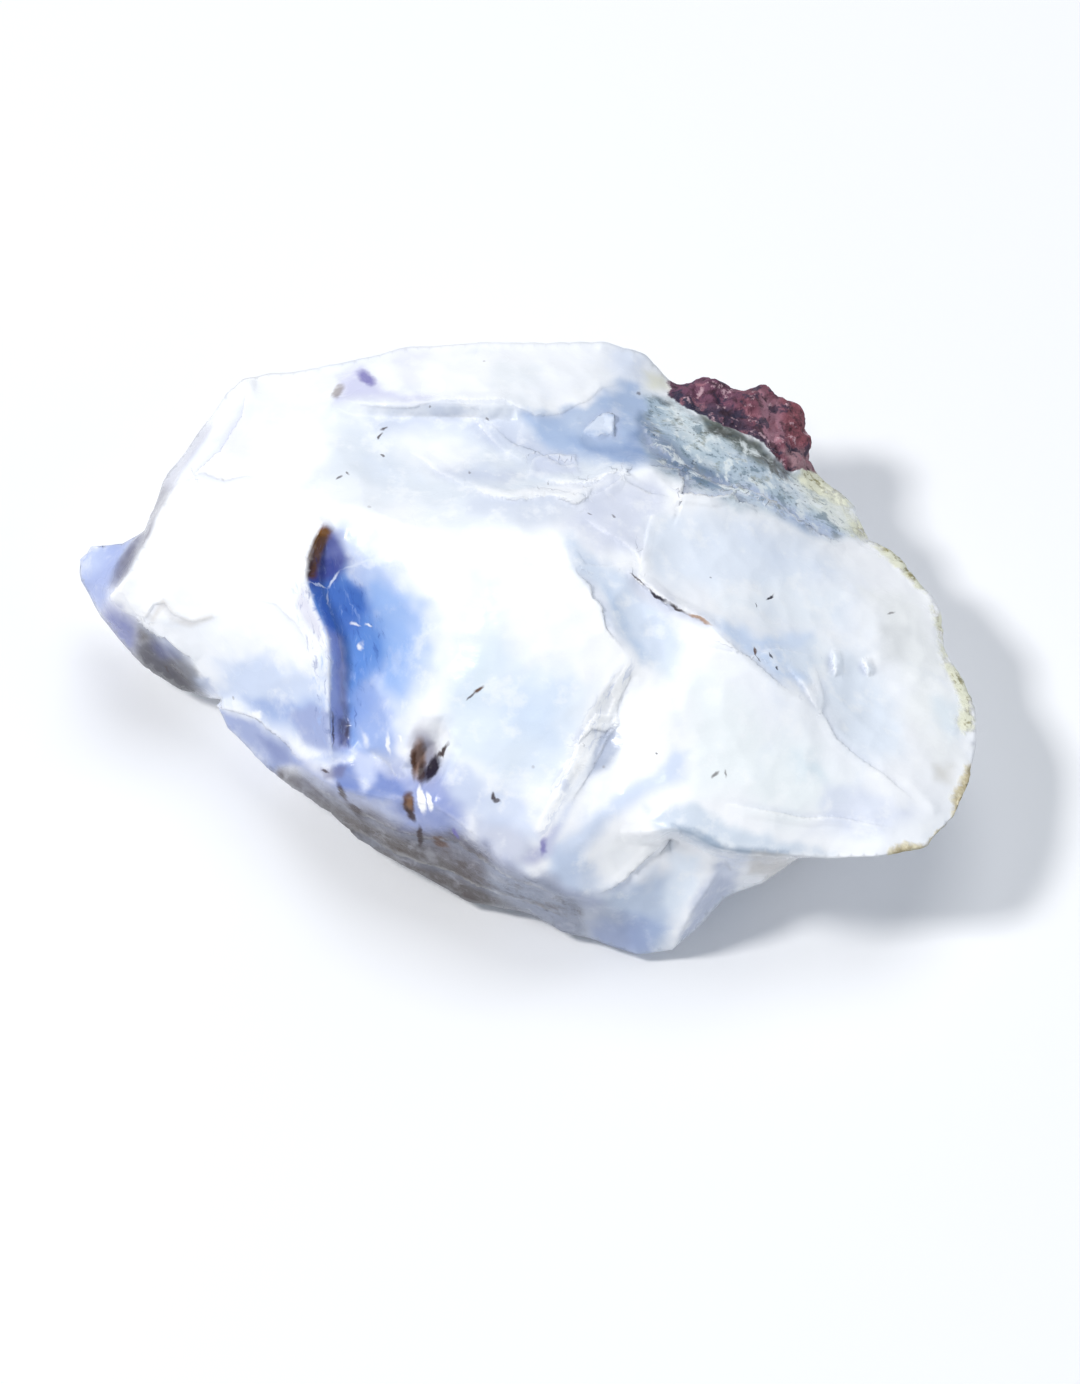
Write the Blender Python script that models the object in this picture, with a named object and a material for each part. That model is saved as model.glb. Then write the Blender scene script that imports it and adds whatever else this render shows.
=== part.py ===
# A rough piece of white opal, broken all round, with a scab of rhyolite grown on its upper edge.
# It is one solid. It lies on a flat broken face, with its longest way along X and up along Z.

import math

import bmesh
import bpy
import numpy as np
from mathutils import Vector, noise
from mathutils.geometry import delaunay_2d_cdt

STONE_NAME = "rough_opal"
MM = 0.001

# Driving sizes. The shape is surveyed on a sheet held square to a line of sight that looks
# down on the stone at this angle. A survey point is (across, down, height), in millimetres:
# across and down on the sheet from its top left corner, and height above the rest face.
SIGHT_ELEVATION = math.radians(55.0)
SHEET_MIDDLE_ACROSS = 52.45
SHEET_FOOT_DOWN = 95.4

# Distance between mesh points in millimetres.
NEAR_SPACING = 1.2
SCAB_SPACING = 0.6
FAR_SPACING = 2.4
CLEAR_OF_LINES = 0.6

RELAX_PASSES = 10
SOFT_LINE_PASSES = 3
RELAX_FACTOR = 0.5

# How firmly a point stays on its survey while the facets are relaxed.
FREE = 0
SOFT = 1
FIXED = 2

# Settings of the triangulation: keep what lies inside the outline, and join closer points.
INSIDE_OUTLINE = 1
SAME_PLACE = 1e-5
SLIVER_AREA = 1e-9
ON_EDGE = 1e-6

# The part of the sheet that the stone lies on: first across, first down, width, height.
SURVEYED = (5, 30, 100, 70)

GRAIN_HEIGHT = 0.15
GRAIN_SIZE = 5.0
RIM_SHARE = 0.3
REST_TOLERANCE = 0.01

OPAL_COLOUR = (0.86, 0.89, 0.93, 1.0)
OPAL_ROUGHNESS = 0.2

# The outline of the stone as it is seen on the sheet, clockwise from the left tip.
RIM = [
    (7.4, 55.7, 9), (8.8, 54.3, 10.5), (11.8, 54.1, 12), (14.1, 52.9, 13), (16.0, 48.8, 15),
    (20.0, 42.3, 17), (24.1, 37.7, 20), (32.9, 36.6, 23), (40.4, 34.5, 24), (50.0, 34.2, 24),
    (60.4, 34.1, 22), (64.5, 35.2, 20), (67.4, 37.9, 17.5), (69.0, 38.1, 17), (70.4, 37.8, 16.5),
    (71.6, 37.6, 16.5), (72.8, 38.1, 16), (73.4, 38.8, 15.5), (75.0, 38.4, 15.5),
    (76.5, 38.2, 15), (78.2, 39.1, 14), (80.3, 40.1, 13), (81.0, 41.5, 12.5), (80.8, 43.2, 12),
    (81.1, 45.7, 12), (82.7, 48.3, 12), (85.7, 50.4, 12), (87.0, 54.0, 12), (89.4, 55.1, 12),
    (92.2, 58.7, 12.5), (94.3, 61.2, 12.5), (94.7, 65.0, 12.5), (97.0, 69.9, 12.5),
    (97.5, 72.0, 12.5), (97.0, 75.6, 12.5), (96.6, 78.5, 13), (95.1, 81.5, 13.5),
    (91.9, 84.6, 14.5), (87.2, 85.5, 15.5), (82.2, 85.6, 15), (80.0, 85.7, 10),
    (76.4, 87.7, 7), (72.2, 89.7, 5), (69.3, 93.1, 3), (67.2, 94.9, 2), (63.6, 95.4, 1.5),
    (59.7, 93.9, 1.5), (56.2, 93.0, 2), (52.8, 91.1, 2), (47.1, 89.8, 2), (42.6, 87.6, 3),
    (38.0, 85.3, 3), (33.1, 81.2, 4), (27.7, 77.0, 5.5), (22.6, 72.9, 6.5), (21.3, 70.4, 7.5),
    (21.7, 70.1, 6.5), (20.5, 69.9, 4), (17.8, 68.9, 3), (12.7, 64.9, 3.5), (9.6, 61.5, 5),
    (7.6, 58.0, 7.5),
]

# Crisp ridges and lips on the near side.
SHOULDER_EDGE = [
    (24.6, 38.4, 22), (20.5, 43.0, 20.5), (16.8, 49.2, 19), (14.1, 54.5, 18.5),
    (12.6, 57.9, 18), (11.2, 59.7, 16.5),
]
SKIRT_LINE = [
    (11.2, 59.7, 16.5), (12.2, 61.1, 15), (15.4, 62.6, 14.5), (17.6, 64.5, 13.5),
    (19.4, 66.4, 12), (20.7, 68.3, 10), (21.7, 70.1, 6.5),
]
APRON_LIP = [
    (21.3, 70.4, 7.5), (25.0, 72.2, 9.5), (29.0, 74.2, 11.5), (33.3, 75.2, 15),
]
POCKET_LIP = [
    (32.5, 52.7, 29), (31.0, 56.0, 27.5), (30.8, 58.3, 26.5), (32.0, 61.0, 25),
    (33.0, 64.0, 23.5), (33.1, 70.0, 19.5), (33.3, 75.2, 15),
]
FRONT_LIP = [
    (33.3, 75.2, 15), (35.2, 74.8, 15.5), (38.0, 75.5, 15.5), (39.7, 77.5, 14.5),
    (38.5, 79.7, 16),
]
FRONT_RIDGE = [
    (29.7, 76.4, 10.5), (33.5, 78.5, 13), (38.5, 79.7, 16), (43.5, 80.8, 17),
    (48.0, 83.8, 15.8), (52.0, 86.9, 13.6), (56.6, 89.0, 11.2), (59.4, 89.7, 9.9),
    (61.8, 90.5, 8), (63.1, 92.6, 4.8), (63.6, 95.4, 1.5),
]
LOBE_RIDGE = [
    (66.9, 83.7, 14.2), (65.0, 86.1, 13), (63.7, 88.1, 11.2), (62.2, 88.8, 10.3),
    (59.4, 89.7, 9.9),
]
FOLD_RIDGE = [
    (72.4, 85.9, 12.2), (71.0, 88.0, 10.6), (68.9, 91.2, 7.2), (67.2, 94.9, 2),
]
VALLEY_BACK = [
    (33.5, 40.1, 26), (38.5, 40.3, 27), (43.5, 40.4, 27.5), (48.0, 40.5, 27.5),
    (51.6, 40.7, 27), (53.5, 41.4, 26.5),
]
WAVE_RIDGE = [
    (47.6, 48.9, 29.5), (51.0, 50.1, 30.5), (55.4, 50.1, 30.5), (58.5, 49.2, 29.5),
    (62.2, 47.2, 28),
]
LEDGE = [
    (62.2, 47.2, 28), (64.7, 46.7, 27.5), (66.0, 48.0, 27), (68.5, 50.0, 26.5),
    (73.3, 50.9, 24.5), (77.9, 52.6, 21.5), (83.0, 54.4, 17), (89.4, 55.1, 12),
]
DISH_EDGE = [
    (67.3, 51.0, 26.9), (64.8, 52.5, 27.6), (64.3, 55.1, 28), (64.1, 58.0, 28),
    (67.1, 60.8, 27.3), (71.0, 62.7, 26.5), (74.8, 66.7, 25), (78.3, 69.3, 23),
    (82.1, 71.6, 20.5), (85.0, 74.2, 18.5), (88.0, 76.3, 17), (90.9, 78.6, 16),
    (93.0, 80.6, 15),
]
OVERHANG_LIP = [
    (61.8, 83.1, 17.2), (65.0, 83.0, 18.9), (67.0, 82.6, 19.6), (68.9, 83.0, 19.4),
    (70.4, 83.9, 18.8), (72.2, 84.6, 18.2), (75.0, 84.9, 17.6), (77.4, 85.2, 17),
    (82.2, 85.6, 15),
]
V_RIDGE = [
    (62.6, 66.1, 27.5), (60.4, 68.9, 26.2), (57.9, 73.2, 23.5), (56.6, 78.0, 21),
    (53.5, 82.5, 17.5),
]
BROW_EDGE = [
    (62.6, 66.1, 27.5), (61.0, 62.6, 29), (58.5, 58.9, 30.5), (57.2, 57.0, 31),
    (56.0, 52.6, 30.7),
]

# Rounded ridges and the floors of hollows on the near side.
FLANGE_FOLD = [
    (13.9, 53.4, 13.4), (12.5, 55.0, 12.7), (11.3, 57.0, 12.3), (10.6, 58.8, 12.6),
]
HACKLE_STEP = [
    (12.8, 60.6, 16.5), (14.1, 60.4, 17), (15.0, 61.8, 16), (18.5, 62.2, 17),
    (21.9, 61.7, 18.5),
]
POCKET_FLOOR = [
    (32.8, 54.6, 25.5), (32.2, 56.4, 24), (32.3, 59.0, 22.5), (33.5, 62.0, 20.5),
    (34.1, 66.0, 18.5), (34.3, 70.0, 16.5), (34.6, 73.6, 14.4),
]
POCKET_RIGHT = [
    (34.7, 54.5, 28), (37.2, 56.0, 28.5), (40.0, 59.0, 28), (41.5, 62.5, 26.5),
    (41.8, 66.0, 24.5), (39.5, 69.5, 21), (38.2, 72.5, 18),
]
VALLEY_LEFT = [
    (33.5, 40.1, 26), (33.5, 44.5, 26.5), (30.0, 48.9, 27), (29.7, 52.6, 27.5),
]
MIDDLE_RIDGE = [
    (30.0, 48.9, 27), (37.2, 51.4, 30), (43.5, 53.2, 31), (51.0, 52.9, 31.5),
    (56.0, 52.6, 30.7),
]
LEDGE_FOOT = [
    (65.8, 45.8, 25), (69.0, 48.5, 24), (73.5, 49.2, 22.3), (79.0, 51.0, 19),
    (84.6, 53.4, 15),
]
LOWER_FOOT = [
    (62.4, 84.1, 14.9), (64.8, 83.9, 14.5), (66.9, 83.7, 14.2), (68.9, 84.3, 13.6),
    (71.0, 85.3, 12.8), (72.4, 85.9, 12.2), (75.0, 86.1, 11.4), (77.3, 86.3, 10.4),
]
FRONT_RIBS = [
    [(38.5, 79.7, 16), (40.5, 83.5, 10.4), (42.6, 87.6, 3)],
    [(52.0, 86.9, 13.6), (52.3, 89.0, 8.8), (52.8, 91.1, 2)],
]
SWEEP = [
    (67.9, 75.7, 23), (64.0, 78.5, 21.2), (60.0, 81.5, 18.8), (57.9, 84.5, 16.3),
]
WAVE_FOOT = [
    (47.8, 47.5, 27.3), (51.2, 48.7, 27.9), (55.2, 48.8, 27.9), (58.2, 47.9, 27.3),
    (61.2, 46.2, 26.5),
]
VALLEY_BACK_FOOT = [
    (34.8, 41.3, 25), (39.0, 41.6, 25.3), (44.0, 41.7, 25.3), (51.0, 42.0, 25.2),
]
V_FLOOR = [
    (62.5, 68.4, 25.1), (61.0, 72.5, 22.7), (58.8, 77.5, 20.1),
]
DISH_STEP = [
    (81.5, 64.0, 19.6), (82.3, 67.5, 19.2), (82.1, 71.6, 20.5),
]

# Single surveyed points on the near side: facets between the lines above.
SHOULDER_SPOTS = [
    (22.0, 48.5, 22.6), (25.0, 56.0, 22.6), (19.0, 56.0, 20.2), (28.0, 43.0, 24.5),
]
APRON_SPOTS = [
    (25.0, 64.0, 19.3), (29.0, 64.0, 21.5), (30.0, 60.0, 24), (24.0, 69.0, 12.6),
    (29.0, 70.0, 15.5), (32.2, 69.0, 19),
]
POCKET_SPOTS = [
    (35.5, 60.0, 23.5), (37.5, 64.0, 21.5), (36.0, 68.0, 18.5), (36.2, 72.0, 16),
]
BACK_SPOTS = [
    (36.5, 38.5, 24.5), (48.0, 37.5, 26.6), (56.0, 38.0, 25.3), (40.0, 43.0, 25.5),
    (45.0, 44.0, 25), (40.0, 47.0, 26.5), (47.0, 46.0, 26), (56.0, 41.6, 24.5),
    (60.0, 40.0, 23.5), (60.0, 44.0, 25.2), (64.0, 43.0, 23.5), (56.0, 45.5, 26.4),
]
SCAB_SIDE_SPOTS = [
    (64.0, 39.5, 21.5), (68.0, 43.0, 21.3), (70.0, 39.8, 18.8), (74.0, 45.0, 19.4),
    (79.0, 48.0, 16.5), (75.0, 41.0, 17), (79.0, 43.0, 15),
]
MIDDLE_SPOTS = [
    (40.0, 56.0, 29.6), (44.0, 59.0, 29.8), (47.0, 64.0, 27.8), (52.0, 60.0, 30.4),
    (54.5, 64.0, 29), (44.0, 68.0, 25.4), (50.0, 70.0, 25), (54.0, 74.0, 22.6),
    (48.0, 77.0, 20.5), (44.0, 74.0, 21.3), (52.0, 80.0, 18.3), (41.0, 76.0, 18.2),
]
DISH_SPOTS = [
    (69.0, 56.0, 25.5), (70.0, 53.8, 25.2), (76.0, 60.0, 22.5), (79.0, 65.5, 21.2),
    (85.0, 66.0, 17.2), (85.5, 71.0, 16.4), (92.0, 70.0, 14.8), (90.0, 62.0, 16),
    (84.0, 58.0, 18.4),
]
STRIP_SPOTS = [
    (61.5, 59.5, 28.5), (64.5, 64.0, 26.4), (64.0, 69.0, 25.6), (65.0, 72.0, 24.8),
    (60.0, 75.0, 22), (62.0, 54.5, 28.6),
]
LOWER_RIGHT_SPOTS = [
    (70.0, 70.0, 25), (76.0, 76.0, 21.5), (84.0, 80.0, 17.5), (70.0, 78.0, 22.4),
    (76.0, 81.5, 19.3),
]
LOBE_SPOTS = [
    (61.5, 85.6, 13.8), (62.8, 86.9, 12.2), (60.3, 87.6, 11.8), (67.6, 87.4, 10.8),
    (67.2, 90.2, 7.6), (66.0, 92.6, 5), (73.6, 88.0, 8), (71.0, 90.4, 4.7),
]
FRONT_SPOTS = [
    (45.5, 84.5, 10), (36.0, 81.8, 7.4), (56.0, 91.0, 5.6), (60.5, 92.0, 5.4),
]

# The far side, in millimetres: (along X, back along Y, height). The rest face is flat at
# height 0. Each ridge runs from a corner of the rest face, by a middle, to a point of the rim.
REST_FACE = [
    (-30, 36), (-24, 26), (-12, 14.5), (2, 7), (14, 6), (24, 13), (30, 24), (28, 38),
    (18, 46), (0, 49), (-18, 47), (-28, 43),
]
FAR_RIDGES = [
    ((-30, 36), (-37, 39, 4.5), (9.6, 61.5, 5)),
    ((-18, 47), (-22, 55.5, 9), (24.1, 37.7, 20)),
    ((0, 49), (-2, 60, 12.5), (50.0, 34.2, 24)),
    ((18, 46), (20, 55, 8.5), (73.4, 38.8, 15.5)),
    ((30, 24), (38.5, 27, 6.5), (94.3, 61.2, 12.5)),
    ((24, 13), (31, 8.5, 7.5), (87.2, 85.5, 15.5)),
]
FAR_SPOTS = [
    (-31, 47, 8.5), (-12, 56, 10), (-14, 57.5, 17), (10, 55.5, 9.5), (8, 58.5, 16),
    (30, 43, 6), (35.5, 17, 6), (-30, 29, 1.6),
]

# The rhyolite scab: its outline on the sheet, and its lumps as (across, down, radius).
SCAB_OUTLINE = [
    (66.6, 38.2), (70.0, 36.8), (77.5, 37.2), (82.0, 40.5), (82.2, 47.4), (79.0, 47.4),
    (76.0, 45.0), (73.0, 43.2), (69.5, 41.6), (67.0, 39.8),
]
SCAB_LUMPS = [
    (68.8, 39.3, 1.7), (71.3, 39.0, 2.6), (71.9, 41.3, 1.6), (74.6, 40.6, 3.0),
    (76.9, 39.6, 1.7), (76.0, 43.0, 1.9), (78.9, 41.3, 2.7), (78.3, 44.4, 1.5),
    (80.2, 43.8, 2.2), (79.9, 46.4, 1.7), (73.4, 38.8, 1.1), (77.4, 45.3, 1.1),
]
LUMP_RISE = 0.6

# Pits as (across, down, half width, half length, lean in degrees, depth).
PITS = [
    (43.2, 75.6, 2.2, 4.4, 18, 2.6),
    (41.8, 79.6, 1.6, 2.2, 10, 1.2),
]
PIT_ROUNDNESS = 1.5


def sheet_to_stone(across, down, height):
    """A survey point on the sheet as X, Y, Z in millimetres."""
    up_sheet = SHEET_FOOT_DOWN - down
    back = (up_sheet - height * math.cos(SIGHT_ELEVATION)) / math.sin(SIGHT_ELEVATION)
    return (across - SHEET_MIDDLE_ACROSS, back, height)


def stone_to_sheet(along, back, height):
    """The survey point on the sheet of a place in the stone."""
    up_sheet = back * math.sin(SIGHT_ELEVATION) + height * math.cos(SIGHT_ELEVATION)
    return (along + SHEET_MIDDLE_ACROSS, SHEET_FOOT_DOWN - up_sheet, height)


def smooth_run(points, spacing):
    """A curve through the points, cut into steps of about the spacing. The points stay on it."""
    controls = [np.array(point, dtype=float) for point in points]
    controls = [controls[0]] + controls + [controls[-1]]
    run = []
    for before, start, end, after in zip(controls, controls[1:], controls[2:], controls[3:]):
        steps = max(1, round(float(np.linalg.norm((end - start)[:2])) / spacing))
        for step in range(steps):
            t = step / steps
            bend = (2 * before - 5 * start + 4 * end - after) * t ** 2
            twist = (3 * start - before - 3 * end + after) * t ** 3
            run.append(0.5 * (2 * start + (end - before) * t + bend + twist))
    run.append(controls[-1])
    return run


def straight_ring(points, spacing):
    """A closed outline with straight sides, cut into steps of about the spacing."""
    ring = []
    for start, end in zip(points, points[1:] + points[:1]):
        start = np.array(start, dtype=float)
        end = np.array(end, dtype=float)
        steps = max(1, round(float(np.linalg.norm((end - start)[:2])) / spacing))
        ring += [start + (end - start) * step / steps for step in range(steps)]
    return ring


def inside(outline, places):
    """Which places on the sheet lie inside a closed outline."""
    result = np.zeros(len(places), dtype=bool)
    across = places[:, 0]
    down = places[:, 1]
    for start, end in zip(outline, outline[1:] + outline[:1]):
        crosses = (start[1] > down) != (end[1] > down)
        drop = end[1] - start[1] or SLIVER_AREA
        at = start[0] + (down - start[1]) / drop * (end[0] - start[0])
        result ^= crosses & (across < at)
    return result


def lattice(spacing):
    """Places on the sheet in staggered rows."""
    first_across, first_down, width, height = SURVEYED
    row_step = spacing * math.sqrt(3) / 2
    places = []
    for row in range(int(height / row_step)):
        stagger = 0.5 * (row % 2)
        for column in range(int(width / spacing)):
            across = first_across + (column + stagger) * spacing
            places.append((across, first_down + row * row_step))
    return np.array(places)


def clear_of(places, taken, distance):
    """The places that are further than a distance from every taken one."""
    gaps = np.linalg.norm(places[:, None, :] - taken[None, :, :2], axis=2)
    return places[gaps.min(axis=1) > distance]


class Sheet:
    """One side of the stone: survey lines and points over the stone's outline."""

    def __init__(self, rim):
        self.points = [tuple(point) for point in rim]
        self.held = [FIXED] * len(rim)
        count = len(rim)
        self.edges = [(index, (index + 1) % count) for index in range(count)]

    def add_line(self, run, held, closed=False):
        """Adds a run of survey points that the triangles follow."""
        first = len(self.points)
        self.points += [tuple(point) for point in run]
        self.held += [held] * len(run)
        last = len(self.points)
        self.edges += [(index, index + 1) for index in range(first, last - 1)]
        if closed:
            self.edges.append((last - 1, first))

    def add_spots(self, spots):
        """Adds single survey points that may move while the facets are relaxed."""
        self.points += [tuple(spot) for spot in spots]
        self.held += [FREE] * len(spots)

    def triangles(self):
        """The joined-up triangles, and for each corner the survey points that meet in it."""
        flat = [Vector(point[:2]) for point in self.points]
        corners, _, faces, origins, _, _ = delaunay_2d_cdt(
            flat, self.edges, [], INSIDE_OUTLINE, SAME_PLACE)
        return corners, faces, origins

    def heights_at(self, places):
        """Heights at places on the sheet, read off the triangles between the survey points."""
        corners, faces, origins = self.triangles()
        heights = np.array([self.points[meeting[0]][2] for meeting in origins])
        flat = np.array([tuple(corner) for corner in corners])
        result = np.zeros(len(places))
        for face in faces:
            a, b, c = (flat[index] for index in face)
            area = (b[0] - a[0]) * (c[1] - a[1]) - (c[0] - a[0]) * (b[1] - a[1])
            if abs(area) < SLIVER_AREA:
                continue
            off = places - a
            along_b = (off[:, 0] * (c[1] - a[1]) - (c[0] - a[0]) * off[:, 1]) / area
            along_c = ((b[0] - a[0]) * off[:, 1] - off[:, 0] * (b[1] - a[1])) / area
            along_a = 1 - along_b - along_c
            within = np.minimum(np.minimum(along_a, along_b), along_c) >= -ON_EDGE
            mix = heights[list(face)]
            level = mix[0] + along_b * (mix[1] - mix[0]) + along_c * (mix[2] - mix[0])
            result[within] = level[within]
        return result

    def fill(self, places, spacing):
        """Adds free points at places on the sheet, on the surface between the lines."""
        places = clear_of(places, np.array(self.points), CLEAR_OF_LINES * spacing)
        heights = self.heights_at(places)
        for place, height in zip(places, heights):
            self.points.append((place[0], place[1], height))
            self.held.append(FREE)


def near_sheet(rim):
    """The side that is seen along the line of sight."""
    sheet = Sheet(rim)
    crisp = [
        SHOULDER_EDGE, SKIRT_LINE, APRON_LIP, POCKET_LIP, FRONT_LIP, FRONT_RIDGE, VALLEY_BACK,
        WAVE_RIDGE, LEDGE, DISH_EDGE, OVERHANG_LIP, V_RIDGE, BROW_EDGE, LOBE_RIDGE,
        FOLD_RIDGE,
    ]
    rounded = [
        HACKLE_STEP, POCKET_FLOOR, POCKET_RIGHT, VALLEY_LEFT, MIDDLE_RIDGE, LEDGE_FOOT,
        LOWER_FOOT, SWEEP, WAVE_FOOT, VALLEY_BACK_FOOT, V_FLOOR, DISH_STEP, FLANGE_FOLD,
        *FRONT_RIBS,
    ]
    for line in crisp:
        sheet.add_line(smooth_run(line, NEAR_SPACING), FIXED)
    for line in rounded:
        sheet.add_line(smooth_run(line, NEAR_SPACING), SOFT)
    for spots in (
        SHOULDER_SPOTS, APRON_SPOTS, POCKET_SPOTS, BACK_SPOTS, SCAB_SIDE_SPOTS, MIDDLE_SPOTS,
        DISH_SPOTS, STRIP_SPOTS, LOWER_RIGHT_SPOTS, LOBE_SPOTS, FRONT_SPOTS,
    ):
        sheet.add_spots(spots)
    return sheet


def far_sheet(rim):
    """The side that faces away and down, with the rest face in it."""
    sheet = Sheet(rim)
    rest = [stone_to_sheet(along, back, 0.0) for along, back in REST_FACE]
    sheet.add_line(straight_ring(rest, FAR_SPACING), FIXED, closed=True)
    for corner, middle, rim_point in FAR_RIDGES:
        run = [stone_to_sheet(*corner, 0.0), stone_to_sheet(*middle), rim_point]
        sheet.add_line(smooth_run(run, FAR_SPACING), FIXED)
    sheet.add_spots([stone_to_sheet(*spot) for spot in FAR_SPOTS])
    return sheet


def add_side(bm, sheet, rim_corners):
    """Adds one side's triangles. Both sides share the corners along the rim."""
    places, faces, origins = sheet.triangles()
    corners = []
    held = []
    for meeting in origins:
        first = meeting[0]
        if first < len(rim_corners):
            corners.append(rim_corners[first])
        else:
            corners.append(bm.verts.new(sheet_to_stone(*sheet.points[first])))
        held.append(max(sheet.held[index] for index in meeting))
    for face in faces:
        bm.faces.new([corners[index] for index in face])
    return list(zip(corners, held))


def relax(bm, corners):
    """Rounds the facets between the held lines, as shell-like breaks are."""
    free = [corner for corner, hold in corners if hold == FREE]
    soft = [corner for corner, hold in corners if hold == SOFT]
    for step in range(RELAX_PASSES):
        moving = free + soft if step < SOFT_LINE_PASSES else free
        bmesh.ops.smooth_vert(
            bm, verts=moving, factor=RELAX_FACTOR,
            use_axis_x=True, use_axis_y=True, use_axis_z=True)


def pit_depth(across, down):
    """How far the small hollows go in at a place on the sheet."""
    depth = 0.0
    for centre_across, centre_down, half_width, half_length, lean, full_depth in PITS:
        turn = math.radians(lean)
        off_across = across - centre_across
        off_down = down - centre_down
        over_width = (off_across * math.cos(turn) + off_down * math.sin(turn)) / half_width
        over_length = (off_down * math.cos(turn) - off_across * math.sin(turn)) / half_length
        reach = over_width ** 2 + over_length ** 2
        if reach < 1:
            depth = max(depth, full_depth * (1 - reach) ** PIT_ROUNDNESS)
    return depth


def sink_pits(corners):
    """Pushes the near side in along the line of sight where the hollows are."""
    for corner in corners:
        across, down, height = stone_to_sheet(*corner.co)
        corner.co = sheet_to_stone(across, down, height - pit_depth(across, down))


def lump_centres(survey):
    """The middles of the scab's lumps, on the near side as surveyed."""
    places = np.array([lump[:2] for lump in SCAB_LUMPS])
    heights = survey.heights_at(places)
    return [
        (Vector(sheet_to_stone(across, down, height)), radius)
        for (across, down, radius), height in zip(SCAB_LUMPS, heights)
    ]


def lump_rise(place, lumps):
    """How far the scab's lumps stand proud at a place."""
    rise = 0.0
    for centre, radius in lumps:
        reach = (place - centre).length / radius
        if reach < 1:
            rise = max(rise, LUMP_RISE * radius * (1 - reach ** 2))
    return rise


def roughen(bm, lumps, rim_corners):
    """Raises the scab's lumps and a slight grain, everywhere but on the rest face."""
    bm.normal_update()
    on_rim = set(rim_corners)
    moves = []
    for corner in bm.verts:
        if corner.co.z < REST_TOLERANCE:
            continue
        grain = GRAIN_HEIGHT * noise.noise(corner.co / GRAIN_SIZE)
        rise = lump_rise(corner.co, lumps)
        share = RIM_SHARE if corner in on_rim else 1.0
        moves.append((corner, corner.normal * (grain + rise) * share))
    for corner, move in moves:
        corner.co += move


def model_stone():
    """The stone as one closed mesh, in millimetres, in the survey's own place."""
    rim = straight_ring(RIM, NEAR_SPACING)
    outline = [tuple(point[:2]) for point in rim]
    rest = [stone_to_sheet(along, back, 0.0)[:2] for along, back in REST_FACE]

    lumps = lump_centres(near_sheet(rim))
    near = near_sheet(rim)
    coarse = lattice(NEAR_SPACING)
    fine = lattice(SCAB_SPACING)
    near.fill(fine[inside(outline, fine) & inside(SCAB_OUTLINE, fine)], SCAB_SPACING)
    near.fill(coarse[inside(outline, coarse) & ~inside(SCAB_OUTLINE, coarse)], NEAR_SPACING)

    far = far_sheet(rim)
    wide = lattice(FAR_SPACING)
    far.fill(wide[inside(outline, wide) & ~inside(rest, wide)], FAR_SPACING)

    bm = bmesh.new()
    rim_corners = [bm.verts.new(sheet_to_stone(*point)) for point in rim]
    near_corners = add_side(bm, near, rim_corners)
    far_corners = add_side(bm, far, rim_corners)
    bmesh.ops.recalc_face_normals(bm, faces=bm.faces[:])
    relax(bm, near_corners + far_corners)
    on_rim = set(rim_corners)
    sink_pits([corner for corner, _ in near_corners if corner not in on_rim])
    roughen(bm, lumps, rim_corners)
    return bm


def stand_on_origin(bm):
    """Scales to metres and puts the middle of the footprint's box on the origin."""
    bmesh.ops.scale(bm, verts=bm.verts[:], vec=(MM, MM, MM))
    lows = [min(corner.co[axis] for corner in bm.verts) for axis in range(3)]
    highs = [max(corner.co[axis] for corner in bm.verts) for axis in range(3)]
    middle = [(low + high) / 2 for low, high in zip(lows, highs)]
    bmesh.ops.translate(bm, verts=bm.verts[:], vec=(-middle[0], -middle[1], -lows[2]))


def opal_material():
    """Milky white opal with a waxy gloss."""
    material = bpy.data.materials.new("milky opal")
    material.use_nodes = True
    shader = material.node_tree.nodes["Principled BSDF"]
    shader.inputs["Base Color"].default_value = OPAL_COLOUR
    shader.inputs["Roughness"].default_value = OPAL_ROUGHNESS
    shader.inputs["Metallic"].default_value = 0.0
    material.diffuse_color = OPAL_COLOUR
    return material


def clear_scene():
    """Starts from a scene with nothing in it."""
    for thing in list(bpy.data.objects):
        bpy.data.objects.remove(thing, do_unlink=True)


def main():
    """Models the stone as one named object."""
    clear_scene()
    collection = bpy.data.collections.new(STONE_NAME)
    bpy.context.scene.collection.children.link(collection)
    bm = model_stone()
    stand_on_origin(bm)
    mesh = bpy.data.meshes.new(STONE_NAME)
    bm.to_mesh(mesh)
    bm.free()
    mesh.materials.append(opal_material())
    stone = bpy.data.objects.new(STONE_NAME, mesh)
    collection.objects.link(stone)


main()
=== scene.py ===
# A rough piece of white opal with a scab of maroon host rock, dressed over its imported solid.
import math

import bmesh
import bpy
import numpy as np
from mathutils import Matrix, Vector, noise
from mathutils.bvhtree import BVHTree


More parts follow.
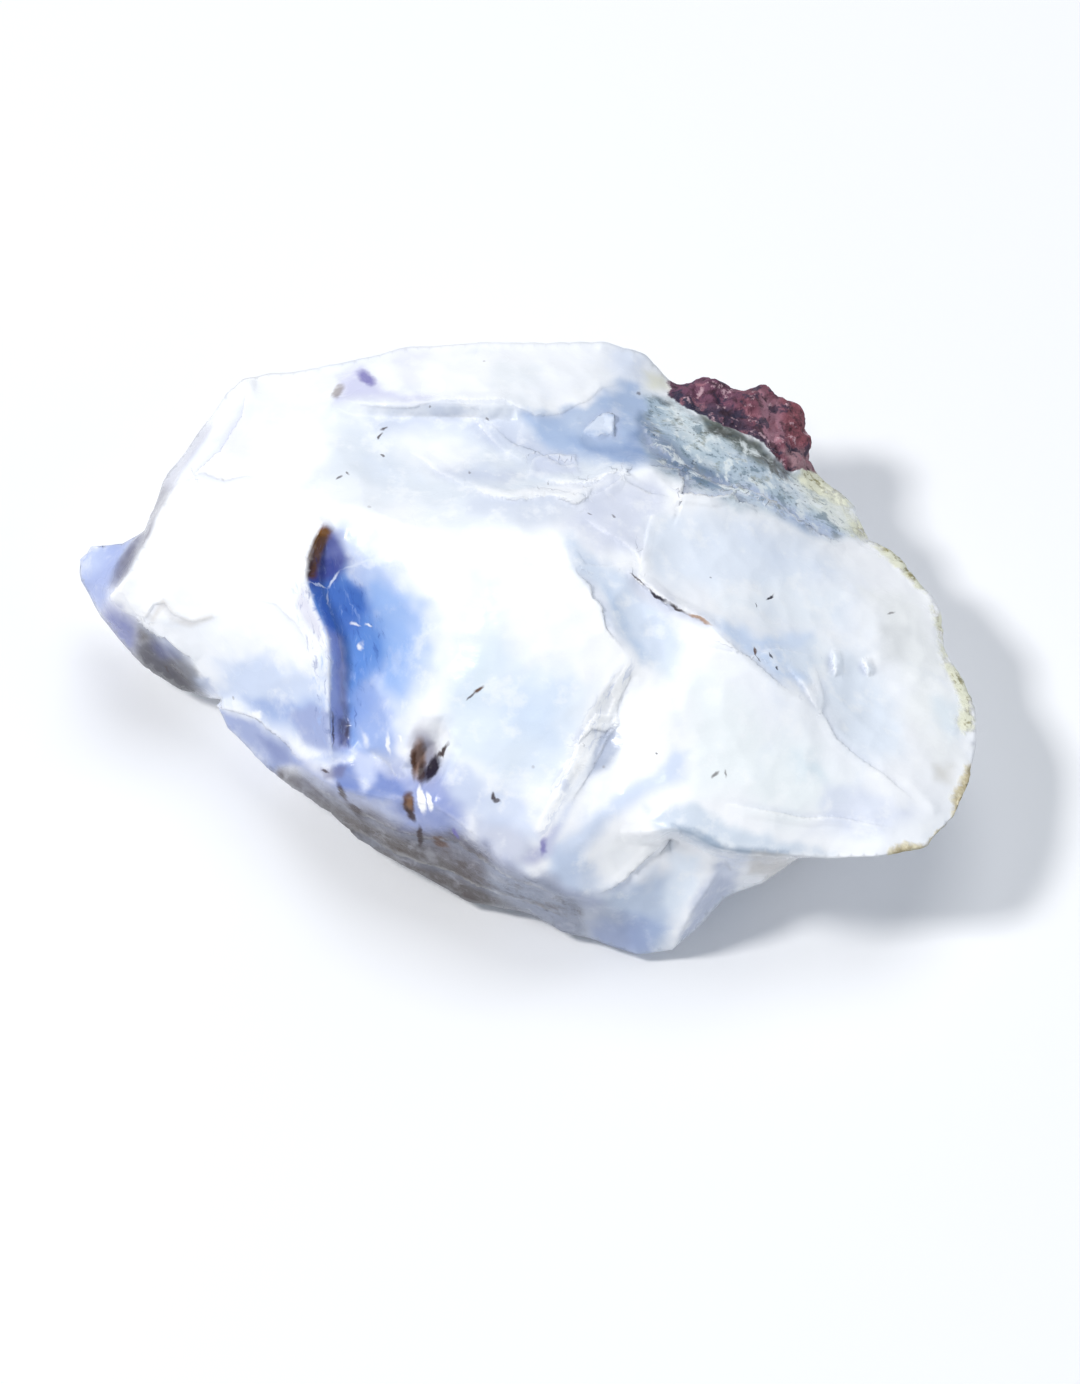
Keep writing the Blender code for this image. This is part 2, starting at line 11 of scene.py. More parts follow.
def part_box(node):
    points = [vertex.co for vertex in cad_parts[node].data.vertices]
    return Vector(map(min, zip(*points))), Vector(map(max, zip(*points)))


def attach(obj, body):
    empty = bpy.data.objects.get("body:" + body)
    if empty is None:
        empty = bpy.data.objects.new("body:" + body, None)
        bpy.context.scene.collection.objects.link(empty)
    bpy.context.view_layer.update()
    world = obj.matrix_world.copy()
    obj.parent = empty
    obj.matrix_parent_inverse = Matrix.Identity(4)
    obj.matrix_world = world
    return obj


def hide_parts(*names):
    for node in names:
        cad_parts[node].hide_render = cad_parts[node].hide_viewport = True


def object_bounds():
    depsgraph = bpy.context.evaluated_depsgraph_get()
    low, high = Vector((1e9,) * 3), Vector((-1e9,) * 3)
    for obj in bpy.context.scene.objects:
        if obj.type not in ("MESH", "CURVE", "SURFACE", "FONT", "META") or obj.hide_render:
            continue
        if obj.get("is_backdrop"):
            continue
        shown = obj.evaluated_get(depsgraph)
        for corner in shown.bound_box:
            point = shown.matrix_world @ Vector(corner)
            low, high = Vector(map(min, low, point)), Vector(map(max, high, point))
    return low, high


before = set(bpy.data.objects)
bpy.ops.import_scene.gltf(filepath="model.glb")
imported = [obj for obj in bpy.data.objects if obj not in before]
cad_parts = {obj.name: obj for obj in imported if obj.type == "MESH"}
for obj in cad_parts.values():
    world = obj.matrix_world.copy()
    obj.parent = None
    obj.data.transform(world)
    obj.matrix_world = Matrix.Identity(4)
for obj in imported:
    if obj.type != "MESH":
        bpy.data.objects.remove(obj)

STONE = "rough_opal"
MM = 0.001

# The stone is looked down on at this angle. Places on it are named on a sheet held square to
# that line of sight, in millimetres across and down from the sheet's top left corner.
SIGHT_ELEVATION = math.radians(55.0)
TOWARD_SIGHT = (0.0, -math.cos(SIGHT_ELEVATION), math.sin(SIGHT_ELEVATION))
SHEET_UP = (0.0, math.sin(SIGHT_ELEVATION), math.cos(SIGHT_ELEVATION))
SHEET_MIDDLE_ACROSS = 52.45
SHEET_FOOT_DOWN = 95.4
PHOTO_WIDTH = 108.0
PHOTO_HEIGHT = 138.4
LENS = 300.0
SENSOR = 36.0

# Studio lights: (name, place in metres, side in metres, watts, colour).
LIGHTS = [
    ("key", (-0.72, -0.16, 0.98), 0.24, 9.0, (1.0, 0.985, 0.965)),
    ("top softbox", (0.15, 0.40, 1.20), 0.70, 4.4, (0.97, 0.985, 1.0)),
    ("side fill", (0.95, -0.45, 0.70), 0.60, 1.5, (0.90, 0.94, 1.0)),
]
SKY_COLOUR = (0.86, 0.92, 1.0)
SKY_STRENGTH = 0.38
FLOOR_HALF = 3.0


def srgb(red, green, blue):
    """A display colour from 0 to 255 as the linear numbers that shaders use."""
    linear = []
    for part in (red, green, blue):
        level = part / 255
        linear.append(level / 12.92 if level <= 0.04045 else ((level + 0.055) / 1.055) ** 2.4)
    return np.array(linear)


# Broken lips that cross the facets: (points on the sheet, height, run-out, high side).
# The high side is +1 where the ground to the left of the line, walked along it, is raised.
LIPS = {
    "shoulder ripple": ([(17.6, 48.2), (20.0, 47.4), (22.5, 48.1), (26.0, 47.6)], 0.20, 4.0, 1),
    "shoulder notch": ([(24.6, 38.6), (24.0, 42.0), (22.0, 45.0), (18.4, 48.6)], 0.25, 3.0, 1),
    "hackle step": (
        [(11.3, 59.2), (12.5, 59.5), (13.5, 61.4), (14.5, 61.8), (15.5, 60.4), (16.4, 60.2),
         (17.4, 61.4), (19.0, 62.0), (22.2, 61.5)], 0.12, 1.6, 1),
    "apron arc": ([(25.5, 60.1), (27.7, 60.5), (29.8, 62.4), (31.4, 65.5)], 0.10, 3.0, 1),
    "flap crease": (
        [(21.4, 70.6), (23.4, 71.1), (25.7, 71.9), (28.1, 73.7), (30.1, 76.1)], 0.22, 1.4, 1),
    "valley brow": (
        [(34.0, 40.1), (37.1, 40.6), (40.9, 40.7), (45.6, 40.1), (50.4, 40.1), (52.3, 41.0),
         (53.7, 41.5), (56.5, 41.1), (58.4, 40.1), (60.3, 38.6), (63.2, 38.1)], 0.14, 2.2, 1),
    "wave one": (
        [(46.9, 48.6), (47.8, 49.3), (49.4, 50.0), (51.3, 50.3), (53.7, 50.0), (55.8, 50.1),
         (57.5, 50.7), (58.7, 49.9), (59.4, 48.8)], 0.24, 2.2, 1),
    "streak flake": (
        [(54.4, 48.2), (56.5, 48.6), (58.9, 48.4), (62.7, 47.2), (61.8, 48.3), (60.3, 49.3),
         (58.6, 49.8)], 0.22, 1.4, 1),
    "wave two": ([(46.3, 41.0), (48.5, 43.0), (50.4, 45.3), (52.3, 46.5)], 0.12, 2.5, 1),
    "wave three": (
        [(49.0, 42.2), (51.3, 44.4), (53.7, 45.4), (56.5, 46.7), (58.4, 46.3)], 0.14, 2.5, -1),
    "wave four": ([(40.9, 45.3), (43.7, 47.2), (46.6, 48.9), (47.5, 49.3)], 0.12, 2.5, 1),
    "lilac flake": (
        [(52.7, 48.2), (53.4, 46.1), (55.4, 45.6), (57.6, 45.7), (58.1, 47.6)], 0.14, 2.0, -1),
    "back flake": (
        [(58.2, 43.4), (60.3, 41.4), (61.6, 41.5), (61.5, 43.5), (59.6, 43.7), (58.2, 43.4)],
        0.30, 0.9, -1),
    "upper flake": ([(61.8, 47.1), (62.7, 48.4), (65.0, 49.5), (67.2, 49.8)], 0.12, 1.5, -1),
    "ledge flakes": (
        [(65.2, 46.7), (66.1, 46.6), (67.7, 47.1), (68.3, 48.4), (68.0, 49.5), (70.8, 50.0),
         (73.2, 49.5), (73.9, 50.2), (75.7, 50.9)], 0.45, 1.2, -1),
    "moss terrace": (
        [(67.9, 46.4), (70.8, 48.0), (73.5, 48.9), (76.1, 49.8), (79.3, 51.6), (82.9, 53.8),
         (84.6, 54.5)], 0.35, 1.6, -1),
    "moss terrace two": ([(73.5, 48.4), (75.7, 49.6), (78.4, 50.9), (81.1, 52.7)], 0.30, 1.4, -1),
    "moss cleft": ([(64.0, 42.0), (65.4, 44.6), (67.6, 46.2)], 0.30, 1.4, 1),
    "neck": (
        [(58.4, 52.0), (60.3, 53.4), (63.2, 55.3), (64.1, 56.7), (63.4, 57.8)], 0.10, 1.8, 1),
    "dish brow": (
        [(66.4, 51.0), (65.2, 51.6), (64.5, 53.8), (63.9, 55.6), (63.6, 57.0)], 0.08, 1.8, 1),
    "strip lip": ([(57.8, 55.2), (58.6, 56.6), (60.8, 56.9), (63.0, 56.4)], 0.08, 2.0, -1),
    "fissure": (
        [(62.4, 57.6), (64.7, 58.9), (66.5, 60.5), (68.2, 61.4), (70.8, 62.8)], 0.35, 1.2, 1),
    "ridge run": ([(70.8, 62.8), (73.4, 65.0), (76.0, 67.0), (79.0, 69.4)], 0.14, 1.6, -1),
    "dish rib": (
        [(81.2, 66.4), (82.1, 69.3), (82.1, 71.4), (83.5, 74.0), (86.4, 76.3), (88.7, 78.0),
         (91.1, 80.1)], 0.12, 2.0, -1),
    "dish rib two": ([(78.4, 66.6), (80.2, 68.8), (81.6, 71.0)], 0.18, 1.2, 1),
    "dish shelf": ([(70.0, 64.6), (74.5, 65.6), (78.0, 64.8), (81.0, 65.4)], 0.12, 2.0, -1),
    "dish wall": ([(82.9, 65.2), (83.2, 67.7)], 0.35, 0.8, 1),
    "dish wall two": ([(86.1, 65.9), (86.7, 67.6)], 0.35, 0.8, 1),
    "lip crest": (
        [(72.2, 80.2), (76.6, 81.0), (81.0, 81.6), (85.4, 81.8), (89.0, 82.8)], 0.16, 2.5, -1),
    "v left": (
        [(62.6, 66.0), (61.4, 67.9), (60.9, 69.1), (61.4, 69.9), (60.8, 71.6), (59.6, 71.4),
         (58.0, 73.7), (57.2, 75.8), (56.2, 77.6), (54.6, 80.2), (53.4, 82.8)], 0.14, 1.0, 1),
    "v right": (
        [(62.8, 66.2), (62.6, 68.4), (61.8, 70.2), (61.8, 72.4), (60.2, 75.0), (58.6, 77.6),
         (57.0, 80.4)], 0.12, 1.0, -1),
    "v cross": ([(57.6, 74.4), (59.2, 73.0), (60.6, 73.4), (62.0, 71.8)], 0.14, 1.0, 1),
    "skirt chips": ([(13.4, 62.0), (15.2, 63.2), (17.4, 64.4), (19.6, 66.4)], 0.35, 1.0, 1),
    "brow teeth": (
        [(57.6, 56.8), (57.8, 57.5), (58.9, 58.6), (59.0, 59.8), (60.1, 61.0), (60.6, 63.0),
         (62.2, 65.2)], 0.22, 1.8, -1),
    "front chips": (
        [(34.2, 77.0), (37.0, 78.6), (40.2, 79.8), (43.4, 80.4), (46.4, 82.4), (49.0, 84.2)],
        0.10, 1.6, 1),
    "front shelf": (
        [(31.0, 78.4), (35.0, 80.8), (40.2, 83.0), (45.8, 84.2), (50.4, 87.2), (57.0, 89.6)],
        0.18, 1.2, 1),
    "front shelf two": (
        [(34.6, 82.4), (39.2, 85.0), (45.0, 87.2), (51.0, 89.4), (57.4, 92.0)], 0.18, 1.2, 1),
    "lobe lip": (
        [(59.7, 89.1), (61.2, 88.5), (62.7, 87.3), (64.3, 85.8), (65.8, 84.3)], 0.24, 1.0, 1),
}

# The host rock's outline on the sheet, and the weathered rind that runs on from it.
SCAB_OUTLINE = [
    (66.9, 37.8), (68.9, 37.2), (71.6, 36.8), (75.0, 37.0), (77.4, 37.4), (81.0, 39.6),
    (82.0, 42.0), (82.0, 46.9), (80.6, 46.6), (78.8, 46.8), (77.6, 45.4), (76.6, 44.2),
    (74.8, 43.2), (72.4, 42.6), (70.6, 41.2), (68.4, 40.4), (67.0, 39.3),
]
RIND_LINE = [
    (81.6, 47.0), (84.4, 49.6), (86.4, 52.4), (88.6, 54.6), (92.2, 58.6), (94.0, 62.0),
    (94.4, 66.0), (96.4, 69.8), (96.8, 72.4),
]
CREAM_LINE = [(97.0, 77.4), (95.4, 81.6), (92.2, 84.8), (89.0, 85.4)]

# Clouds of colour in the opal: (outline on the sheet, softness in millimetres, strength, colour).
# Some stand for light and shade: cool or dark clouds on faces and hollows turned from the light are
# painted shade, often mixed with the opal's own bluish tone, and those named glow, bright or light
# are painted light.
CLOUDS = {
    "pocket glow": (
        [(34.0, 52.8), (37.0, 54.4), (40.4, 57.2), (43.2, 61.4), (43.8, 65.4), (42.4, 69.0),
         (40.2, 72.6), (39.4, 76.0), (34.0, 76.0), (33.0, 66.0), (30.0, 58.0)], 1.8, 0.8,
        srgb(196, 212, 246)),
    "pocket blue": (
        [(32.0, 54.4), (34.4, 56.4), (36.2, 58.2), (37.6, 60.4), (39.2, 62.6), (39.8, 65.0),
         (38.4, 67.2), (36.8, 69.4), (36.2, 72.0), (36.0, 75.0), (31.6, 75.4), (31.0, 66.0),
         (29.0, 58.0)], 1.6, 0.97, srgb(98, 144, 216)),
    "pocket deep": (
        [(31.0, 58.0), (33.4, 57.8), (36.2, 58.6), (37.2, 61.2), (35.0, 63.8), (32.4, 62.8)],
        0.9, 0.75, srgb(66, 108, 190)),
    "pocket fade": (
        [(36.8, 57.2), (39.6, 58.4), (42.0, 60.8), (42.2, 65.4), (40.4, 69.6), (37.6, 69.4),
         (39.0, 64.6), (37.6, 61.0)], 1.5, 0.85, srgb(150, 184, 238)),
    "pocket low": (
        [(35.4, 69.0), (37.4, 68.2), (39.0, 71.0), (39.8, 75.0), (36.4, 75.8), (35.6, 73.0)],
        1.0, 0.75, srgb(146, 172, 228)),
    "pocket violet": (
        [(32.2, 52.6), (34.0, 53.8), (35.2, 56.0), (33.6, 58.0), (31.6, 58.6), (30.0, 58.0),
         (30.6, 55.0)], 0.7, 0.92, srgb(72, 80, 158)),
    "pocket curtain": (
        [(32.8, 63.0), (34.4, 63.8), (34.9, 67.0), (34.9, 71.0), (35.0, 74.8), (32.8, 75.4),
         (32.4, 69.0)], 0.4, 0.85, srgb(158, 163, 208)),
    "pocket curtain foot": (
        [(34.0, 71.6), (35.2, 72.0), (35.0, 74.6), (34.2, 74.4)], 0.3, 0.75, srgb(88, 88, 124)),
    "amber": (
        [(32.6, 52.7), (33.4, 53.4), (32.7, 54.8), (32.1, 56.2), (31.7, 58.0), (29.6, 58.0),
         (29.6, 54.4)], 0.28, 0.97, srgb(124, 80, 22)),
    "amber edge": (
        [(31.6, 53.4), (32.2, 53.6), (31.5, 55.4), (31.2, 57.8), (29.8, 57.8), (30.0, 54.6)],
        0.2, 0.8, srgb(70, 46, 22)),
    "outside pocket": (
        [(32.5, 52.4), (31.6, 54.1), (31.0, 55.9), (30.8, 57.6), (31.0, 58.8), (31.6, 60.5),
         (32.3, 62.2), (33.1, 64.0), (33.2, 68.0), (33.1, 71.6), (33.4, 75.3), (29.0, 76.2),
         (26.0, 66.0), (26.0, 56.0), (29.0, 50.0)], 0.2, 1.0, srgb(247, 249, 254)),
    # The valley's lavender-grey is partly its own tint and partly painted shade in the hollow; just
    # under its brow, valley back is painted shade.
    "valley": (
        [(33.5, 40.7), (43.0, 40.8), (52.0, 41.2), (56.0, 42.6), (60.0, 46.0), (61.6, 47.6),
         (58.0, 49.6), (54.0, 51.6), (47.0, 52.2), (40.0, 50.6), (35.0, 49.6), (31.6, 48.2),
         (33.2, 44.0)], 2.4, 0.9, srgb(223, 230, 239)),
    "valley back": (
        [(36.0, 41.4), (44.0, 41.2), (51.0, 42.0), (56.4, 44.0), (57.4, 46.2), (53.6, 46.6),
         (50.6, 45.2), (46.0, 42.9), (38.0, 43.0)], 1.2, 0.85, srgb(200, 208, 226)),
    "valley glow": (
        [(39.6, 43.8), (44.0, 43.2), (47.4, 45.4), (45.4, 47.4), (40.4, 46.6)], 1.8, 0.85,
        srgb(250, 251, 254)),
    "valley floor": (
        [(44.0, 47.4), (47.6, 46.6), (52.2, 47.4), (50.8, 48.6), (47.0, 48.6)], 1.0, 0.6,
        srgb(196, 203, 224)),
    # Painted highlight along the wave's crest, and painted shade under it.
    "wave crest highlight": (
        [(47.6, 48.9), (50.4, 49.6), (53.2, 49.2), (56.4, 48.6), (58.2, 49.0), (57.6, 50.2),
         (55.0, 49.9), (51.0, 50.2), (48.6, 49.8)], 0.35, 0.9, srgb(254, 254, 255)),
    "wave shade": (
        [(47.0, 49.6), (51.0, 50.6), (54.6, 50.3), (57.6, 51.0), (59.4, 50.2), (60.6, 51.4),
         (58.4, 52.8), (52.0, 52.0), (47.0, 51.2)], 0.8, 0.6, srgb(204, 211, 228)),
    "back lilac": (
        [(33.4, 37.6), (36.2, 36.6), (38.2, 39.0), (43.0, 39.9), (34.0, 40.0)], 0.8, 0.8,
        srgb(204, 205, 236)),
    "back stain": (
        [(39.2, 34.9), (42.6, 35.0), (41.8, 38.2), (39.8, 38.8)], 0.9, 0.4, srgb(220, 221, 240)),
    "back grey": (
        [(50.0, 36.2), (54.4, 36.4), (53.6, 38.6), (49.4, 38.4)], 1.0, 0.35, srgb(222, 230, 236)),
    "back corner": (
        [(60.0, 34.4), (63.6, 34.6), (64.8, 37.6), (62.4, 38.2)], 0.9, 0.6, srgb(208, 218, 238)),
    "back cream": (
        [(64.4, 36.8), (66.6, 37.2), (67.2, 38.8), (65.0, 38.6)], 0.6, 0.75, srgb(232, 232, 210)),
    # The blue-grey of the steep back band: partly the opal's translucent blue and partly painted
    # shade.
    "back blue": (
        [(52.6, 41.6), (54.6, 41.4), (58.2, 40.6), (60.6, 38.9), (64.0, 38.4), (67.4, 40.6),
         (68.4, 44.0), (66.8, 46.2), (63.0, 46.8), (59.6, 46.2), (56.6, 45.6), (53.6, 44.0)],
        0.8, 0.95, srgb(168, 188, 220)),
    "back blue deep": (
        [(57.0, 43.9), (59.6, 44.8), (62.0, 44.6), (64.0, 42.6), (65.2, 45.6), (62.4, 46.3),
         (58.4, 45.6)], 0.7, 0.75, srgb(132, 157, 200)),
    "back blue pale": (
        [(56.6, 41.6), (59.6, 40.4), (60.0, 42.0), (57.8, 43.4)], 0.8, 0.6, srgb(200, 212, 232)),
    "back flake white": (
        [(58.4, 43.2), (60.2, 41.6), (61.4, 41.8), (61.2, 43.3)], 0.2, 0.85, srgb(228, 236, 250)),
    "lilac facet": (
        [(53.2, 47.8), (53.8, 46.1), (57.6, 45.8), (58.0, 47.4)], 0.5, 0.6, srgb(206, 212, 232)),
    "streak flake white": (
        [(54.6, 48.3), (58.6, 48.4), (62.2, 47.4), (61.2, 48.4), (58.8, 49.5), (56.6, 48.9)],
        0.3, 0.8, srgb(250, 251, 254)),
    "neck": (
        [(58.2, 50.0), (61.4, 48.4), (65.8, 48.8), (66.4, 50.6), (64.8, 52.4), (63.8, 55.8),
         (60.0, 55.2), (57.4, 52.8)], 1.0, 0.75, srgb(214, 219, 236)),
    "moss band": (
        [(64.6, 39.2), (67.2, 39.8), (70.6, 41.8), (75.0, 43.8), (79.6, 47.0), (83.0, 50.0),
         (86.0, 53.4), (83.6, 54.0), (78.2, 52.0), (73.2, 50.2), (69.0, 49.2), (66.2, 47.0),
         (64.4, 44.0)], 0.8, 0.9, srgb(176, 195, 208)),
    "moss shadow": (
        [(64.0, 41.0), (65.8, 43.0), (68.6, 45.6), (73.0, 47.6), (73.2, 49.2), (69.4, 48.9),
         (66.4, 46.8), (63.8, 43.4)], 0.7, 0.85, srgb(88, 112, 146)),
    "moss head": (
        [(66.8, 39.9), (70.0, 41.6), (74.0, 44.0), (73.4, 45.0), (69.6, 44.4), (66.6, 42.2)],
        1.0, 0.7, srgb(214, 226, 230)),
    "moss dark": (
        [(70.4, 41.2), (73.0, 42.4), (76.0, 44.0), (78.2, 46.4), (76.8, 46.6), (74.0, 44.8),
         (71.2, 43.0)], 0.45, 0.85, srgb(74, 80, 66)),
    "moss foot": (
        [(73.4, 48.6), (76.4, 48.9), (80.0, 50.8), (84.4, 53.6), (82.0, 53.8), (78.0, 52.0)],
        0.5, 0.85, srgb(180, 195, 222)),
    "moss tail": (
        [(79.4, 47.2), (82.0, 47.8), (85.4, 51.0), (86.4, 53.6), (84.0, 53.0), (81.2, 50.4)],
        0.6, 0.8, srgb(226, 230, 218)),
    "dish head": (
        [(66.4, 51.2), (70.0, 51.2), (75.6, 52.8), (81.6, 55.2), (85.0, 57.0), (80.0, 58.4),
         (74.6, 58.6), (67.6, 59.0), (64.8, 57.6), (64.4, 54.0)], 1.4, 0.85, srgb(229, 237, 249)),
    "dish crown": (
        [(69.0, 51.2), (75.0, 52.4), (80.6, 54.6), (76.0, 54.4), (70.4, 53.0)], 0.6, 0.5,
        srgb(232, 238, 248)),
    "dish trough": (
        [(69.6, 61.8), (72.6, 62.4), (76.0, 63.8), (81.0, 63.2), (81.8, 66.0), (80.0, 68.8),
         (76.6, 67.2), (72.6, 64.2)], 0.8, 0.85, srgb(206, 223, 248)),
    "dish inner": (
        [(82.0, 65.0), (84.6, 64.6), (87.0, 67.0), (89.4, 71.0), (90.0, 76.0), (87.0, 76.0),
         (84.0, 73.6), (82.4, 70.0)], 1.5, 0.75, srgb(230, 239, 251)),
    "dish glass": (
        [(71.0, 59.6), (78.0, 58.4), (84.0, 59.4), (84.4, 62.0), (78.0, 63.0), (72.0, 61.4)],
        1.4, 0.5, srgb(232, 241, 250)),
    "dish crumbs": (
        [(78.4, 64.4), (82.2, 63.6), (83.0, 66.8), (81.4, 68.0), (79.0, 66.8)], 0.8, 0.6,
        srgb(242, 247, 251)),
    "dish rim": (
        [(86.6, 59.6), (91.4, 59.4), (94.0, 64.6), (96.0, 69.6), (96.2, 76.0), (92.4, 76.4),
         (90.4, 69.0)], 1.6, 0.6, srgb(240, 242, 240)),
    "dish rim spot": (
        [(88.0, 62.6), (90.6, 63.0), (90.4, 66.0), (88.4, 66.0)], 0.9, 0.55, srgb(218, 220, 222)),
    "dish rim stain": (
        [(92.6, 76.2), (95.0, 76.4), (94.8, 78.4), (92.8, 78.2)], 0.8, 0.6, srgb(216, 213, 204)),
    "dish rim pool": (
        [(93.0, 69.2), (95.4, 70.0), (96.0, 73.6), (94.2, 74.4)], 0.9, 0.45, srgb(206, 222, 234)),
    "strip": (
        [(57.2, 54.2), (60.2, 56.8), (63.4, 58.0), (66.2, 61.0), (68.0, 64.4), (67.0, 67.6),
         (63.6, 66.4), (61.2, 62.4), (58.8, 58.8), (57.6, 56.8)], 0.9, 0.8, srgb(210, 223, 242)),
    "strip deep": (
        [(60.0, 58.8), (61.4, 60.2), (63.0, 63.6), (65.0, 66.2), (63.8, 66.8), (61.4, 63.2)],
        0.6, 0.6, srgb(186, 206, 233)),
    "fissure shade": (
        [(62.0, 57.2), (65.4, 58.8), (68.0, 60.6), (71.4, 62.6), (70.0, 63.0), (66.4, 61.6),
         (63.4, 59.4)], 0.6, 0.6, srgb(214, 216, 228)),
    "lower right green": (
        [(66.6, 66.8), (70.0, 66.8), (74.6, 71.4), (80.6, 74.6), (84.0, 78.4), (82.0, 81.8),
         (76.6, 81.4), (70.0, 78.6), (68.0, 73.4)], 2.4, 0.6, srgb(238, 246, 247)),
    "lower right blue": (
        [(82.0, 78.6), (88.0, 79.2), (91.0, 81.4), (87.0, 83.6), (80.6, 82.8)], 1.2, 0.6,
        srgb(216, 223, 242)),
    "lower right pool": (
        [(78.4, 75.2), (81.6, 75.6), (82.2, 78.0), (79.4, 77.8)], 0.9, 0.5, srgb(214, 230, 240)),
    "tube": (
        [(66.6, 74.6), (68.6, 75.2), (68.2, 77.6), (64.6, 79.6), (60.6, 82.0), (58.2, 85.2),
         (57.6, 88.6), (54.8, 87.6), (55.8, 84.2), (58.6, 80.8), (62.4, 78.2), (65.6, 76.8)],
        0.9, 0.8, srgb(206, 219, 242)),
    "tube foot": (
        [(55.0, 85.2), (58.0, 85.0), (59.8, 87.4), (59.2, 89.4), (56.0, 88.6)], 0.9, 0.7,
        srgb(196, 210, 234)),
    # Painted shade under the overhanging lip.
    "lip shade": (
        [(64.6, 80.9), (69.0, 80.4), (73.4, 82.6), (79.6, 84.4), (83.0, 85.2), (78.0, 85.1),
         (72.0, 84.5), (68.8, 83.0), (65.6, 82.6)], 0.7, 0.7, srgb(200, 214, 230)),
    "shadow under the lip": (
        [(67.0, 82.2), (69.2, 82.6), (72.2, 84.2), (78.6, 85.0), (76.0, 85.4), (71.8, 84.9),
         (68.6, 83.6)], 0.3, 0.8, srgb(146, 165, 187)),
    "white lobe": (
        [(60.4, 84.6), (62.0, 83.2), (66.6, 83.0), (66.4, 84.2), (65.0, 86.2), (62.8, 87.8),
         (60.4, 87.0)], 0.5, 0.95, srgb(253, 254, 255)),
    # Painted shade toward the lobe's foot, over its thin bluish opal.
    "lobe shade": (
        [(59.2, 89.6), (62.6, 88.4), (65.0, 86.8), (67.0, 86.6), (67.6, 90.0), (66.6, 94.4),
         (63.8, 95.6), (60.4, 93.8)], 1.2, 0.85, srgb(190, 205, 228)),
    "lobe deep shade": (
        [(61.4, 91.0), (64.6, 91.2), (66.6, 92.8), (64.8, 95.0), (62.4, 94.6)], 0.9, 0.75,
        srgb(166, 184, 220)),
    "lobe bright": (
        [(67.2, 84.4), (69.8, 85.6), (69.6, 88.6), (67.6, 91.6), (65.6, 90.2), (66.4, 87.0)],
        1.0, 0.85, srgb(232, 241, 252)),
    # The fold's shaded side and its lit side: painted shade and painted light.
    "fold": (
        [(71.6, 86.0), (73.4, 86.6), (73.4, 88.8), (70.6, 91.6), (68.2, 94.6), (67.4, 93.4),
         (69.8, 89.6)], 0.7, 0.85, srgb(184, 193, 216)),
    "fold light": (
        [(72.0, 85.0), (74.6, 85.4), (73.2, 87.6), (71.4, 87.4)], 0.5, 0.75, srgb(226, 232, 246)),
    "beige corner": (
        [(74.8, 84.9), (79.6, 85.7), (77.2, 87.4), (74.6, 87.2)], 0.35, 0.85,
        srgb(214, 210, 205)),
    "toe veil": (
        [(33.0, 74.8), (38.0, 75.4), (42.0, 75.6), (46.4, 76.2), (48.4, 79.6), (46.4, 82.4),
         (40.0, 80.4), (34.6, 78.6)], 1.0, 0.55, srgb(160, 174, 216)),
    "v foot veil": (
        [(47.6, 81.4), (52.4, 82.2), (54.4, 85.4), (52.0, 86.4), (48.0, 84.4)], 0.8, 0.6,
        srgb(172, 180, 208)),
    "front lilac": (
        [(29.6, 76.0), (33.6, 77.4), (38.4, 79.0), (43.0, 80.2), (47.0, 83.6), (52.6, 86.8),
         (60.0, 89.8), (60.0, 91.4), (52.0, 88.8), (46.0, 85.4), (38.0, 82.4), (30.4, 78.4)],
        0.8, 0.75, srgb(147, 158, 200)),
    "front blue": (
        [(41.6, 78.4), (44.8, 79.2), (46.6, 81.4), (47.0, 84.2), (44.6, 84.0), (42.4, 82.0)],
        1.0, 0.7, srgb(149, 163, 212)),
    # From here to the front tip, the undercut front face is darkened partly by its own smoky brown
    # and partly by painted shade.
    "front shade and smoke": (
        [(27.2, 76.2), (31.0, 77.8), (34.6, 79.9), (40.3, 82.2), (46.4, 83.2), (50.2, 86.2),
         (55.0, 88.2), (58.0, 90.0), (58.6, 95.4), (52.0, 93.4), (46.0, 91.4), (37.0, 87.0),
         (29.0, 80.4), (25.0, 76.0)], 0.8, 0.95, srgb(108, 105, 114)),
    "front brown": (
        [(28.0, 77.6), (35.0, 81.4), (41.0, 84.0), (47.0, 87.4), (51.0, 89.4), (52.0, 92.4),
         (45.0, 90.6), (37.0, 87.0), (28.0, 80.4)], 0.9, 0.8, srgb(97, 91, 89)),
    "front pale": (
        [(49.0, 86.0), (54.0, 87.4), (60.8, 90.0), (62.8, 92.0), (62.8, 96.0), (57.0, 94.0),
         (52.6, 91.4), (49.4, 89.0)], 1.1, 0.75, srgb(164, 172, 191)),
    "front tip": (
        [(59.0, 92.4), (64.4, 92.0), (65.0, 95.8), (59.6, 95.0)], 1.0, 0.6, srgb(148, 162, 200)),
    "drop shade": (
        [(39.4, 77.6), (44.6, 77.4), (46.2, 80.4), (44.6, 82.8), (40.6, 82.6), (39.2, 80.0)],
        0.9, 0.7, srgb(142, 156, 210)),
    "flap": (
        [(21.2, 70.6), (25.6, 72.2), (28.4, 73.9), (30.4, 76.2), (27.4, 76.9), (22.4, 72.8)],
        0.45, 0.9, srgb(152, 166, 210)),
    "flap shade": (
        [(25.4, 73.4), (28.6, 74.6), (30.0, 76.4), (27.6, 76.2)], 0.5, 0.8, srgb(132, 144, 192)),
    "apron cool": (
        [(21.8, 66.4), (26.6, 65.6), (31.6, 67.4), (33.0, 65.6), (33.2, 70.0), (33.2, 75.0),
         (29.2, 74.0), (25.2, 71.8), (21.6, 70.0)], 1.2, 0.85, srgb(202, 215, 240)),
    "apron blue": (
